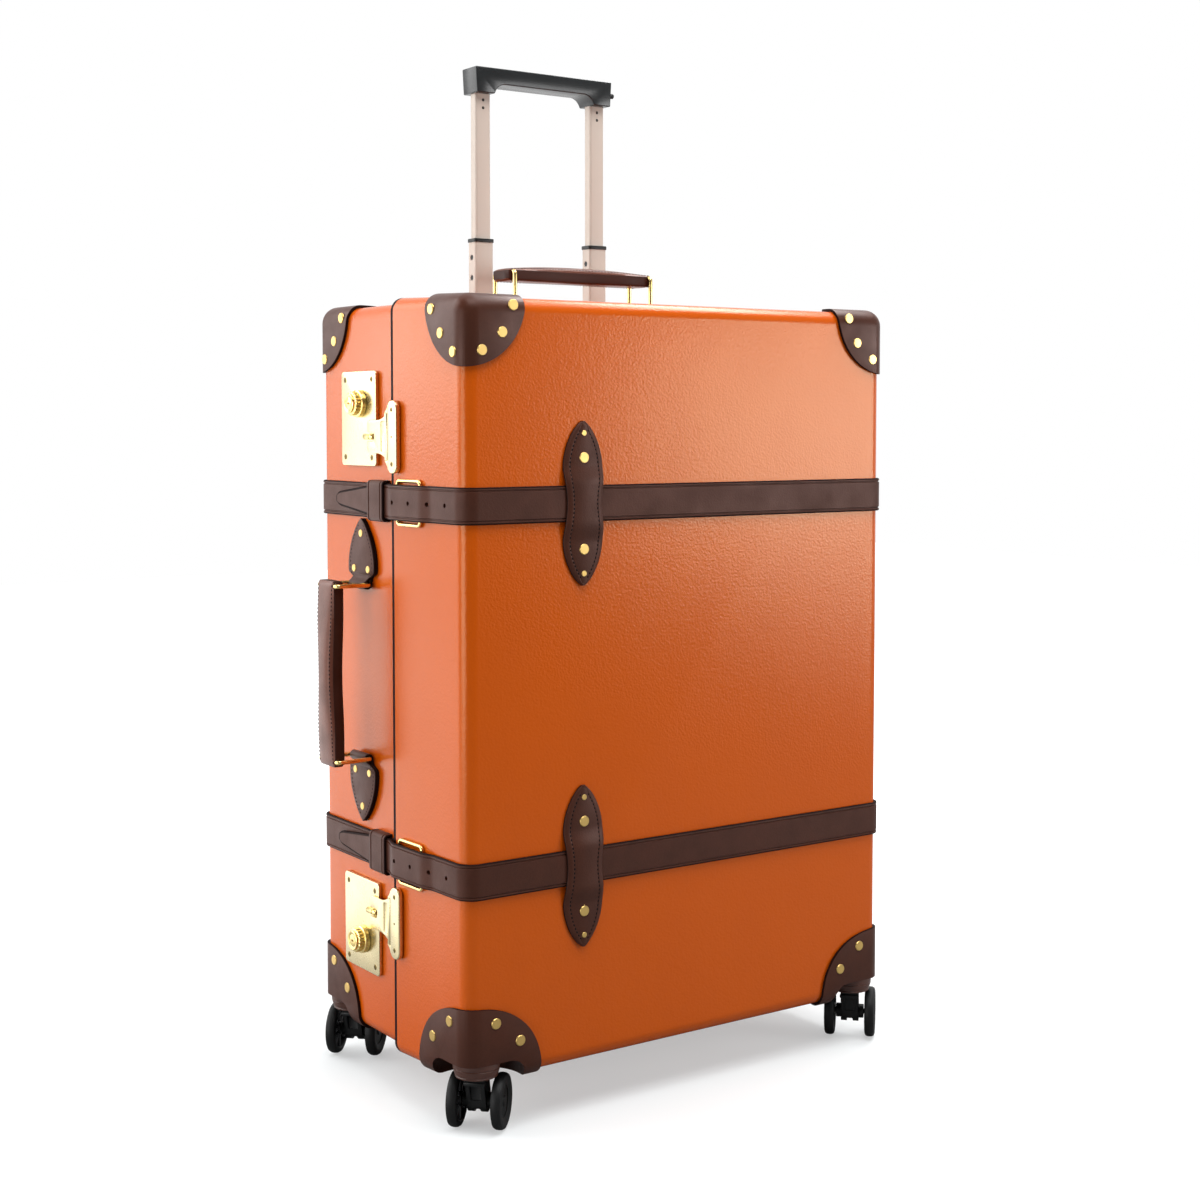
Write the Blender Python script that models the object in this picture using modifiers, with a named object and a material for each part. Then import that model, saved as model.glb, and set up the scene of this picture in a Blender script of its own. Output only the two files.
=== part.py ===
"""A four-wheeled trunk suitcase: two hinged half shells with leather trim, brass locks and a trolley handle.

The case stands upright on its castors. +Z is up, the lid faces -Y, the locks are on the -X side and the hinge is
on the +X side. Lengths are in metres. Inside the script the case frame has its origin under the middle of the
shell; the root empty lifts it on to the castors and centres the whole object over the world origin.
"""
import math

import bmesh
import bpy
from mathutils import Matrix, Vector

# Case body
CASE_WIDTH = 0.520
BASE_DEPTH = 0.1625
CASE_HEIGHT = 0.740
EDGE_RADIUS = 0.014
EDGE_STEPS = 4
ROUND_SIDES = 20
PIN_SIDES = 10
BOARD = 0.003
LID_DEPTH = 0.1325
LID_FLARE = 0.005
RIM_OVERLAP = 0.020
LINING = 0.0015
SEAT = 0.0003

# Leather corners
CORNER_LEATHER = 0.003
TOP_CORNER_REACH = 0.065
FOOT_CORNER_REACH = 0.0815
FOOT_CORNER_HEIGHT = 0.073
FOOT_CORNER_FULLNESS = 2.3

# Castors
CASTOR_HEIGHT = 0.0515
CASTOR_INSET_X = 0.022
CASTOR_INSET_Y = 0.020
CASTOR_YAW = math.radians(45.0)
CASTOR_TRAIL = 0.010
WELL_RADIUS = 0.049
WELL_HEIGHT = 0.021
WELL_ROUND = 0.016
HOUSING_WALL = 0.0025
COLLAR_RADIUS = 0.0222
COLLAR_BOTTOM = 0.008
COLLAR_LIP = 0.0008
STEM_RADIUS = 0.004
STEM_PLAY = 0.0004
FORK_WIDTH = 0.0296
FORK_BODY = 0.019
FORK_BOSS_RADIUS = 0.0075
FORK_PLATE = 0.004
FORK_PLATE_RADIUS = 0.0140
FORK_EYE_RADIUS = 0.011
FORK_NOTCH = 0.008
WHEEL_RADIUS = 0.0272
WHEEL_WIDTH = 0.0115
WHEEL_SIDES = 24
WHEEL_PLAY = 0.0012
AXLE_RADIUS = 0.003

# Straps
STRAP_WIDTH = 0.035
STRAP_LEATHER = 0.0032
STRAP_INSET = 0.194
STRAP_END_GAP = 0.0015
TONGUE_REACH = 0.119
TONGUE_TIP_HALF = 0.003
HOLE_RADIUS = 0.0022
HOLE_PITCH = 0.0298
HOLE_COUNT = 4
FIRST_HOLE_INSET = 0.0133
KEEPER_LENGTH = 0.033
KEEPER_INSET = 0.011
KEEPER_LEATHER = 0.0024
KEEPER_PLAY = 0.0006
BUCKLE_LENGTH = 0.042
BUCKLE_HEIGHT = 0.0425
BUCKLE_WIRE = 0.0019
BUCKLE_INSET = 0.015
LOOP_X = -0.130
LOOP_LENGTH = 0.158
LOOP_LOBE = 0.046
LOOP_WAIST = 0.040
LOOP_LOBE_AT = 0.033
LOOP_LEATHER = 0.0035
LOOP_RAMP = 0.009
POINT_SHAPE = 0.6

# Locks
LOCK_END_INSET = 0.065
LOCK_BACK_INSET = 0.0545
PLATE_LENGTH = 0.095
PLATE_WIDTH = 0.074
PLATE_BRASS = 0.004
PLATE_ROUND = 0.004
KNOB_RISE = 0.015
KNOB_SHIFT = 0.005
KNOB_COLLAR_RADIUS = 0.014
KNOB_COLLAR = 0.006
KNOB_RADIUS = 0.010
KNOB_LENGTH = 0.014
KNOB_SHAFT_RADIUS = 0.004
HASP_DROP = 0.018
HASP_HEIGHT = 0.033
HASP_FOOT = 0.046
HASP_FLARE = 0.009
HASP_LAP = 0.0125
HASP_BRASS = 0.0025
HASP_KNUCKLE = 0.00275
HASP_PIN = 0.0013
HASP_LIFT = 0.0005
HASP_NOTCH = 0.009
HASP_NOTCH_DEPTH = 0.014
HASP_WINDOW_WIDTH = 0.009
CATCH_RADIUS = 0.003
CATCH_LENGTH = 0.019
BAR_LENGTH = 0.071
BAR_WIDTH = 0.0178
BAR_BRASS = 0.0052
BAR_LUG = 0.006

# Carry handles
TOP_HANDLE_INSET = 0.0875
SIDE_HANDLE_RISE = 0.003
TAB_GAP = 0.0045
RING_WIDTH = 0.040
RING_LENGTH = 0.036
RING_WIRE = 0.0021
RING_ROUND = 0.003
RING_PLAY = 0.0004
TAB_LENGTH = 0.066
TAB_WIDTH = 0.056
TAB_NECK = 0.035
TAB_LEATHER = 0.005
TAB_EYE_RADIUS = 0.0055
GRIP_THICKNESS = 0.012
GRIP_END = 0.005
GRIP_END_WIDTH = 0.034
GRIP_WAIST = 0.027
GRIP_ROUND = 0.004

# Trolley
TROLLEY_SPACING = 0.150
TROLLEY_INSET = 0.0165
LOWER_TUBE = (0.023, 0.016)
UPPER_TUBE = (0.019, 0.012)
TUBE_ROUND = 0.0025
TUBE_WALL = 0.0012
TUBE_PLAY = 0.0004
SLEEVE_WALL = 0.0016
FLANGE_HEIGHT = 0.0025
FLANGE_BRIM = 0.0035
LOWER_SHOWN = 0.083
LOWER_HIDDEN = 0.220
UPPER_SHOWN = 0.1565
UPPER_HIDDEN = 0.120
TUBE_COLLAR = 0.004
TUBE_COLLAR_BRIM = 0.001
BRACKET = 0.005
TROLLEY_GRIP_LENGTH = 0.178
TROLLEY_GRIP_DEPTH = 0.030
TROLLEY_GRIP_HEIGHT = 0.0276
TROLLEY_GRIP_BAR = 0.017
TROLLEY_GRIP_FOOT = 0.024
TROLLEY_GRIP_CHAMFER = 0.012
TROLLEY_GRIP_ROUND = 0.0015
SOCKET_DEPTH = 0.008
BUTTON_RADIUS = 0.003
BUTTON_PROUD = 0.0055
BUTTON_DEPTH = 0.008
BUTTON_RISE = 0.0130
BUTTON_SHIFT = 0.0095

# Hinge
HINGE_GAP = 0.018
HINGE_KNUCKLES = 5
HINGE_LEAF = 0.0015
HINGE_LEAF_WIDTH = 0.024
KNUCKLE_RADIUS = 0.0032
KNUCKLE_PLAY = 0.0003
HINGE_PIN_RADIUS = 0.0015

# Places worked out from the driving dimensions
HALF_WIDTH = CASE_WIDTH / 2
BACK_Y = (BASE_DEPTH + LID_DEPTH) / 2
FRONT_Y = -BACK_Y
RIM_Y = FRONT_Y + LID_DEPTH
MID_Z = CASE_HEIGHT / 2
STRAP_HEIGHT = MID_Z - STRAP_INSET
KEEPER_Y = RIM_Y + KEEPER_INSET + KEEPER_LENGTH / 2
BUCKLE_Y = RIM_Y - BUCKLE_INSET - BUCKLE_LENGTH / 2
TONGUE_TIP_Y = RIM_Y + TONGUE_REACH
LOCK_HEIGHT = MID_Z - LOCK_END_INSET - PLATE_LENGTH / 2
LOCK_Y = BACK_Y - LOCK_BACK_INSET - PLATE_WIDTH / 2
KNOB_Y = LOCK_Y - KNOB_SHIFT
HASP_Y = RIM_Y + HASP_KNUCKLE - SEAT
HASP_REACH = LOCK_Y - PLATE_WIDTH / 2 + HASP_LAP - HASP_Y
SIDE_HANDLE_Y = KNOB_Y
TOP_HANDLE_Y = BACK_Y - TOP_HANDLE_INSET
TROLLEY_Y = BACK_Y - TROLLEY_INSET
HANDLE_SPAN = 2 * (STRAP_HEIGHT - STRAP_WIDTH / 2 - TAB_GAP - TAB_LENGTH)
HINGE_LENGTH = 2 * (STRAP_HEIGHT - STRAP_WIDTH / 2 - HINGE_GAP)
LOCK_SIDE = -1
HINGE_SIDE = 1
AXLE_Z = WHEEL_RADIUS * math.cos(math.pi / WHEEL_SIDES) - CASTOR_HEIGHT
HINGE_X = HALF_WIDTH + LID_FLARE + SEAT + KNUCKLE_RADIUS
RING_AXIS = 2 * SEAT + TAB_EYE_RADIUS
LID_SIDE_X = HALF_WIDTH + LID_FLARE + SEAT
TURN_TO_AXIS = {
    "X": Matrix.Rotation(math.radians(90), 4, "Y"),
    "Y": Matrix.Rotation(math.radians(-90), 4, "X"),
    "Z": Matrix.Identity(4),
}


def clear_scene():
    for obj in list(bpy.data.objects):
        bpy.data.objects.remove(obj, do_unlink=True)


def new_collection(name):
    collection = bpy.data.collections.new(name)
    bpy.context.scene.collection.children.link(collection)
    return collection


def new_material(name, colour, roughness, metallic=0.0):
    material = bpy.data.materials.new(name)
    material.use_nodes = True
    shader = material.node_tree.nodes["Principled BSDF"]
    shader.inputs["Base Color"].default_value = (*colour, 1.0)
    shader.inputs["Roughness"].default_value = roughness
    shader.inputs["Metallic"].default_value = metallic
    return material


clear_scene()
PARTS = new_collection("suitcase")
TOOLS = new_collection("suitcase_cutters")
LACQUER = new_material("orange_lacquer", (0.58, 0.115, 0.016), 0.38)
LEATHER = new_material("brown_leather", (0.062, 0.026, 0.020), 0.5)
BRASS = new_material("polished_brass", (0.80, 0.56, 0.18), 0.18, 1.0)
BLACK = new_material("black_plastic", (0.012, 0.012, 0.013), 0.45)
GREY = new_material("grip_plastic", (0.035, 0.037, 0.039), 0.5)
TUBE = new_material("champagne_aluminium", (0.76, 0.68, 0.60), 0.3, 1.0)
CLOTH = new_material("lining_cloth", (0.30, 0.22, 0.15), 0.9)
STEEL = new_material("sleeve_steel", (0.45, 0.45, 0.46), 0.4, 1.0)


def empty(name, parent, place=(0.0, 0.0, 0.0), turn=(0.0, 0.0, 0.0)):
    axis = bpy.data.objects.new(name, None)
    PARTS.objects.link(axis)
    axis.empty_display_size = 0.02
    axis.parent = parent
    axis.location = place
    axis.rotation_euler = turn
    return axis


def to_mesh(bm, name):
    mesh = bpy.data.meshes.new(name)
    bm.to_mesh(mesh)
    bm.free()
    mesh.shade_smooth()
    mesh.set_sharp_from_angle(angle=math.radians(35))
    return mesh


def add_part(name, bm, parent, material):
    part = bpy.data.objects.new(name, to_mesh(bm, name))
    part.data.materials.append(material)
    PARTS.objects.link(part)
    part.parent = parent
    return part


def add_tool(name, shape, parent):
    mesh = shape if isinstance(shape, bpy.types.Mesh) else to_mesh(shape, name)
    tool = bpy.data.objects.new(name, mesh)
    TOOLS.objects.link(tool)
    tool.parent = parent
    tool.hide_render = True
    tool.display_type = "WIRE"
    return tool


def combine(obj, operation, tool):
    step = obj.modifiers.new(operation.lower() + "_" + tool.name, "BOOLEAN")
    step.operation = operation
    step.solver = "EXACT"
    step.object = tool


def cut(obj, bm, name):
    combine(obj, "DIFFERENCE", add_tool(obj.name + "_" + name, bm, obj.parent))


def join(obj, bm, name):
    combine(obj, "UNION", add_tool(obj.name + "_" + name, bm, obj.parent))


def thicken(obj, thickness, outward=True):
    step = obj.modifiers.new("thickness", "SOLIDIFY")
    step.thickness = thickness
    step.offset = 1.0 if outward else -1.0
    step.use_even_offset = True


def block(low, high, radius=0.0, steps=2, along=None):
    """Box between two corners, with every edge rounded, or only those along one axis (0, 1 or 2)."""
    bm = bmesh.new()
    bmesh.ops.create_cube(bm, size=1.0)
    bmesh.ops.scale(bm, vec=Vector(high) - Vector(low), verts=bm.verts)
    bmesh.ops.translate(bm, vec=(Vector(high) + Vector(low)) / 2, verts=bm.verts)
    if radius > 0.0:
        edges = []
        for edge in bm.edges:
            run = (edge.verts[1].co - edge.verts[0].co).normalized()
            if along is None or abs(run[along]) > 0.9:
                edges.append(edge)
        bmesh.ops.bevel(bm, geom=edges, offset=radius, segments=steps, profile=0.5, affect="EDGES")
    return bm


def rod(radius, length, centre, axis, sides=12):
    bm = bmesh.new()
    place = Matrix.Translation(Vector(centre)) @ TURN_TO_AXIS[axis]
    bmesh.ops.create_cone(
        bm, cap_ends=True, segments=sides, radius1=radius, radius2=radius, depth=length, matrix=place
    )
    return bm


def turned(profile, sides, start=0.0):
    """Solid of revolution about Z from (radius, height) points that start and end on the axis."""
    bm = bmesh.new()
    ahead = Vector((math.cos(start), math.sin(start), 0.0))
    ring = [bm.verts.new(ahead * radius + Vector((0.0, 0.0, height))) for radius, height in profile]
    edges = [bm.edges.new(pair) for pair in zip(ring, ring[1:])]
    bmesh.ops.spin(
        bm, geom=ring + edges, cent=(0, 0, 0), axis=(0, 0, 1), angle=2 * math.pi, steps=sides, use_merge=True
    )
    bmesh.ops.remove_doubles(bm, verts=bm.verts, dist=0.00001)
    poles = [vert for vert in bm.verts if vert.co.xy.length < 0.00001]
    bmesh.ops.dissolve_verts(bm, verts=poles)
    bmesh.ops.recalc_face_normals(bm, faces=bm.faces)
    return bm


def prism(outline, axis, low, high):
    """Flat outline pushed along an axis; the outline's two numbers are the other two axes in order."""
    bm = bmesh.new()
    ring = []
    for first, second in outline:
        point = {"X": (low, first, second), "Y": (first, low, second), "Z": (first, second, low)}[axis]
        ring.append(bm.verts.new(point))
    face = bm.faces.new(ring)
    push = {"X": (high - low, 0, 0), "Y": (0, high - low, 0), "Z": (0, 0, high - low)}[axis]
    moved = bmesh.ops.extrude_face_region(bm, geom=[face])["geom"]
    bmesh.ops.translate(bm, vec=push, verts=[item for item in moved if isinstance(item, bmesh.types.BMVert)])
    bmesh.ops.recalc_face_normals(bm, faces=bm.faces)
    return bm


def ribbon(centres, halves, across, outward):
    """Open strip through the centre points, as wide as twice each half width, facing the outward side."""
    bm = bmesh.new()
    across = Vector(across)
    pairs = []
    for centre, half in zip(centres, halves):
        pairs.append((bm.verts.new(Vector(centre) - across * half), bm.verts.new(Vector(centre) + across * half)))
    faces = [bm.faces.new((a[0], b[0], b[1], a[1])) for a, b in zip(pairs, pairs[1:])]
    bm.normal_update()
    middle = faces[len(faces) // 2]
    if middle.normal.dot(Vector(outward)) < 0.0:
        bmesh.ops.reverse_faces(bm, faces=faces)
    return bm


def wire_loop(points, radius):
    """Closed wire along the points, as a mesh."""
    curve = bpy.data.curves.new("wire", "CURVE")
    curve.dimensions = "3D"
    curve.bevel_depth = radius
    curve.bevel_resolution = 2
    spline = curve.splines.new("POLY")
    spline.points.add(len(points) - 1)
    for place, point in zip(spline.points, points):
        place.co = (*point, 1.0)
    spline.use_cyclic_u = True
    holder = bpy.data.objects.new("wire", curve)
    TOOLS.objects.link(holder)
    bpy.context.view_layer.update()
    mesh = bpy.data.meshes.new_from_object(holder.evaluated_get(bpy.context.evaluated_depsgraph_get()))
    bpy.data.objects.remove(holder, do_unlink=True)
    bm = bmesh.new()
    bm.from_mesh(mesh)
    bmesh.ops.remove_doubles(bm, verts=bm.verts, dist=0.00001)
    bmesh.ops.recalc_face_normals(bm, faces=bm.faces)
    return bm


def arc(centre, radius, start, end, steps):
    """Points on an arc in a plane, angles in degrees."""
    points = []
    for i in range(steps + 1):
        angle = math.radians(start + (end - start) * i / steps)
        points.append((centre[0] + radius * math.cos(angle), centre[1] + radius * math.sin(angle)))
    return points


def rounded_outline(width, height, radius, steps=2):
    """Rounded rectangle about the origin, anticlockwise."""
    x = width / 2 - radius
    y = height / 2 - radius
    outline = []
    for centre, start in (((x, y), 0), ((-x, y), 90), ((-x, -y), 180), ((x, -y), 270)):
        outline += arc(centre, radius, start, start + 90, steps)
    return outline


def point_half_width(distance, length, half):
    """Half width of a leather point at a distance from its tip."""
    share = max(0.02, min(1.0, distance / length))
    return half * math.sin(math.pi / 2 * share) ** POINT_SHAPE


def lid_x(y):
    """Half width of the lid, which flares from its front face to its rim."""
    return HALF_WIDTH + LID_FLARE * (y - FRONT_Y) / LID_DEPTH


def flare(bm):
    for vert in bm.verts:
        share = (vert.co.y - FRONT_Y) / LID_DEPTH
        vert.co.x *= 1.0 + LID_FLARE / HALF_WIDTH * share
        vert.co.z = MID_Z + (vert.co.z - MID_Z) * (1.0 + LID_FLARE / MID_Z * share)
    return bm


def case_form(grow):
    """The closed case as one rounded block, grown on every side."""
    low = (-HALF_WIDTH - grow, FRONT_Y - grow, -grow)
    high = (HALF_WIDTH + grow, BACK_Y + grow, CASE_HEIGHT + grow)
    return block(low, high, EDGE_RADIUS + grow, EDGE_STEPS)


def tray(inset, closed_y, open_y, radius):
    """Rounded box left open on one side."""
    direction = math.copysign(1.0, open_y - closed_y)
    near, far = sorted((closed_y, open_y + direction * 3 * radius))
    low = (-HALF_WIDTH + inset, near, inset)
    high = (HALF_WIDTH - inset, far, CASE_HEIGHT - inset)
    bm = block(low, high, radius, EDGE_STEPS)
    everything = bm.verts[:] + bm.edges[:] + bm.faces[:]
    bmesh.ops.bisect_plane(
        bm, geom=everything, plane_co=(0, open_y, 0), plane_no=(0, direction, 0), clear_outer=True
    )
    return bm


def blob(centre, reach, height, fullness):
    """Rounded lump that trims a leather corner to its outline."""
    bm = bmesh.new()
    bmesh.ops.create_uvsphere(bm, u_segments=ROUND_SIDES, v_segments=ROUND_SIDES // 2, radius=1.0)
    power = 2.0 / fullness
    for vert in bm.verts:
        spread = math.hypot(vert.co.x, vert.co.y)
        level = math.copysign(abs(vert.co.z) ** power, vert.co.z)
        widen = spread ** power / spread if spread > 0.0001 else 0.0
        vert.co = (vert.co.x * widen * reach, vert.co.y * widen * reach, level * height)
    bmesh.ops.translate(bm, vec=centre, verts=bm.verts)
    return bm


def dome(radius, top, rounding, bottom):
    """Profile of a round well with a rounded ceiling edge."""
    profile = [(0.0, top)]
    profile += arc((radius - rounding, top - rounding), rounding, 90, 0, EDGE_STEPS)
    profile += [(radius, bottom), (0.0, bottom)]
    return profile


def castor_place(side, y_sign):
    return Vector((side * (HALF_WIDTH - CASTOR_INSET_X), y_sign * (BACK_Y - CASTOR_INSET_Y), 0.0))


def moved(bm, place):
    bmesh.ops.translate(bm, vec=place, verts=bm.verts)
    return bm


CORNERS = [
    ("lid_lock", LOCK_SIDE, -1),
    ("lid_hinge", HINGE_SIDE, -1),
    ("base_lock", LOCK_SIDE, 1),
    ("base_hinge", HINGE_SIDE, 1),
]


def make_shells(base, lid):
    shells = {}
    base_shell = add_part("base_shell", tray(0.0, BACK_Y, RIM_Y - RIM_OVERLAP, EDGE_RADIUS), base, LACQUER)
    thicken(base_shell, BOARD, outward=False)
    lid_shell = add_part("lid_shell", flare(tray(0.0, FRONT_Y, RIM_Y, EDGE_RADIUS)), lid, LACQUER)
    thicken(lid_shell, BOARD, outward=False)
    inset = BOARD + SEAT
    radius = EDGE_RADIUS - BOARD
    back = TROLLEY_Y - LOWER_TUBE[1] / 2 - TUBE_PLAY - SLEEVE_WALL - SEAT
    base_lining = add_part("base_lining", tray(inset, back, RIM_Y - RIM_OVERLAP, radius), base, CLOTH)
    thicken(base_lining, LINING, outward=False)
    lid_open = RIM_Y - RIM_OVERLAP - BOARD
    lid_lining = add_part("lid_lining", flare(tray(inset, FRONT_Y + inset, lid_open, radius)), lid, CLOTH)
    thicken(lid_lining, LINING, outward=False)
    shells["base"] = (base_shell, base_lining)
    shells["lid"] = (lid_shell, lid_lining)
    for name, side, y_sign in CORNERS:
        for piece in shells[name.split("_")[0]]:
            well = turned(dome(WELL_RADIUS, WELL_HEIGHT, WELL_ROUND, -CASTOR_HEIGHT / 2), ROUND_SIDES)
            cut(piece, moved(well, castor_place(side, y_sign)), "well_" + name)
    for side in (-1, 1):
        half_x = LOWER_TUBE[0] / 2 + TUBE_PLAY + SLEEVE_WALL + SEAT
        half_y = LOWER_TUBE[1] / 2 + TUBE_PLAY + SLEEVE_WALL + SEAT
        middle = side * TROLLEY_SPACING / 2
        low = (middle - half_x, TROLLEY_Y - half_y, CASE_HEIGHT - EDGE_RADIUS)
        high = (middle + half_x, TROLLEY_Y + half_y, CASE_HEIGHT + EDGE_RADIUS)
        cut(base_shell, block(low, high, TUBE_ROUND, 2, 2), "trolley_hole_" + str(side))


def leather_forms(base, lid):
    """Inner and outer faces of the moulded leather on each half of the case."""
    outer = CORNER_LEATHER + SEAT
    return {
        "base": (add_tool("base_leather_outer", case_form(outer), base),
                 add_tool("base_leather_inner", case_form(SEAT), base)),
        "lid": (add_tool("lid_leather_outer", flare(case_form(outer)), lid),
                add_tool("lid_leather_inner", flare(case_form(SEAT)), lid)),
    }


def make_top_corner(name, side, y_sign, parent, forms):
    vertex = (side * HALF_WIDTH, y_sign * BACK_Y, CASE_HEIGHT)
    lump = blob(vertex, TOP_CORNER_REACH, TOP_CORNER_REACH, 2.0)
    corner = add_part("top_corner_" + name, lump, parent, LEATHER)
    combine(corner, "INTERSECT", forms[0])
    combine(corner, "DIFFERENCE", forms[1])


def make_castor_corner(name, side, y_sign, parent, forms):
    """Leather bottom corner with the castor's housing and collar moulded into it."""
    vertex = (side * HALF_WIDTH, y_sign * BACK_Y, 0.0)
    lump = blob(vertex, FOOT_CORNER_REACH, FOOT_CORNER_HEIGHT, FOOT_CORNER_FULLNESS)
    corner = add_part("castor_corner_" + name, lump, parent, LEATHER)
    combine(corner, "INTERSECT", forms[0])
    place = castor_place(side, y_sign)
    ceiling = WELL_HEIGHT - SEAT
    housing = dome(WELL_RADIUS - SEAT, ceiling, WELL_ROUND, -CASTOR_HEIGHT / 2)
    hollow = add_tool(corner.name + "_hollow", forms[1].data.copy(), parent)
    cut(hollow, moved(turned(housing, ROUND_SIDES), place), "housing")
    combine(corner, "DIFFERENCE", hollow)
    inside = WELL_RADIUS - SEAT - HOUSING_WALL
    well = dome(inside, ceiling - HOUSING_WALL, WELL_ROUND - HOUSING_WALL, -CASTOR_HEIGHT / 2)
    cut(corner, moved(turned(well, ROUND_SIDES), place), "well")
    lip = (COLLAR_BOTTOM + ceiling - HOUSING_WALL) / 2
    collar = [
        (0.0, ceiling - HOUSING_WALL / 2),
        (COLLAR_RADIUS, ceiling - HOUSING_WALL / 2),
        (COLLAR_RADIUS, lip),
        (COLLAR_RADIUS - COLLAR_LIP, lip - COLLAR_LIP),
        (COLLAR_RADIUS - 2 * COLLAR_LIP, COLLAR_BOTTOM),
        (0.0, COLLAR_BOTTOM),
    ]
    join(corner, moved(turned(collar, ROUND_SIDES, math.pi / ROUND_SIDES), place), "collar")
    bore_top = ceiling - 2 * HOUSING_WALL
    bore_low = COLLAR_BOTTOM - CASTOR_HEIGHT / 2
    bore = rod(STEM_RADIUS + STEM_PLAY, bore_top - bore_low, (0, 0, (bore_top + bore_low) / 2), "Z")
    cut(corner, moved(bore, place), "stem_bore")


def make_castor(name, side, y_sign, parent):
    swivel = empty("castor_axis_" + name, parent, castor_place(side, y_sign), (0, 0, CASTOR_YAW))
    plate_top = COLLAR_BOTTOM - SEAT
    plate_low = plate_top - FORK_PLATE
    plate = rod(FORK_PLATE_RADIUS, FORK_PLATE, (0, 0, (plate_top + plate_low) / 2), "Z")
    fork = add_part("castor_fork_" + name, plate, swivel, BLACK)
    stem_top = WELL_HEIGHT - SEAT - 2 * HOUSING_WALL - STEM_PLAY
    stem = rod(STEM_RADIUS, stem_top - plate_low, (0, 0, (stem_top + plate_low) / 2), "Z")
    join(fork, stem, "stem")
    top = (plate_top + plate_low) / 2
    back = -FORK_PLATE_RADIUS + FORK_PLATE
    outline = [(back, top), (back, plate_low - FORK_PLATE)]
    outline += arc((CASTOR_TRAIL, AXLE_Z), FORK_EYE_RADIUS, 180, 360, 10)
    outline += [(FORK_PLATE_RADIUS - FORK_PLATE / 2, plate_low - FORK_PLATE),
                (FORK_PLATE_RADIUS - FORK_PLATE / 2, top)]
    join(fork, prism(outline, "Y", -FORK_BODY / 2, FORK_BODY / 2), "body")
    join(fork, rod(FORK_BOSS_RADIUS, FORK_WIDTH, (CASTOR_TRAIL, 0, AXLE_Z), "Y"), "axle_boss")
    notch_top = AXLE_Z - AXLE_RADIUS - FORK_PLATE
    low = (CASTOR_TRAIL - 2 * FORK_EYE_RADIUS, -FORK_NOTCH / 2, AXLE_Z - 2 * FORK_EYE_RADIUS)
    cut(fork, block(low, (CASTOR_TRAIL + 2 * FORK_EYE_RADIUS, FORK_NOTCH / 2, notch_top)), "notch")
    bore = rod(AXLE_RADIUS + STEM_PLAY, 2 * FORK_WIDTH, (CASTOR_TRAIL, 0, AXLE_Z), "Y", PIN_SIDES)
    cut(fork, bore, "axle_bore")
    axle = empty("axle_axis_" + name, swivel, (CASTOR_TRAIL, 0, AXLE_Z))
    inner = FORK_WIDTH / 2 + WHEEL_PLAY
    outer = inner + WHEEL_WIDTH
    shoulder = WHEEL_WIDTH * 0.3
    rim = WHEEL_RADIUS - WHEEL_WIDTH * 0.22
    half = [
        (0.0, outer), (rim, outer), (WHEEL_RADIUS, outer - shoulder), (WHEEL_RADIUS, inner + shoulder),
        (rim, inner), (AXLE_RADIUS, inner),
    ]
    profile = half + [(radius, -height) for radius, height in reversed(half)]
    pair = turned(profile, WHEEL_SIDES)
    bmesh.ops.rotate(pair, verts=pair.verts, cent=(0, 0, 0), matrix=Matrix.Rotation(math.pi / WHEEL_SIDES, 3, "Z"))
    bmesh.ops.transform(pair, matrix=TURN_TO_AXIS["Y"], verts=pair.verts)
    add_part("castor_wheels_" + name, pair, axle, BLACK)


def strap_corner(x_side, y_side, radius, start, end):
    """Plan points of a strap round one upright edge of the case."""
    centre = (x_side * (HALF_WIDTH - EDGE_RADIUS), y_side * (BACK_Y - EDGE_RADIUS))
    return arc(centre, radius, start, end, EDGE_STEPS)


def make_strap_base(name, height, base):
    radius = EDGE_RADIUS + SEAT
    start = RIM_Y + STRAP_END_GAP
    x = HALF_WIDTH + SEAT
    plan = [(-x, start)]
    plan += strap_corner(-1, 1, radius, 180, 90)
    plan += strap_corner(1, 1, radius, 90, 0)
    plan += [(x, start)]
    centres = [(px, py, height) for px, py in plan]
    strip = ribbon(centres, [STRAP_WIDTH / 2] * len(plan), (0, 0, 1), (0, 1, 0))
    thicken(add_part("strap_base_" + name, strip, base, LEATHER), STRAP_LEATHER)


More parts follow.
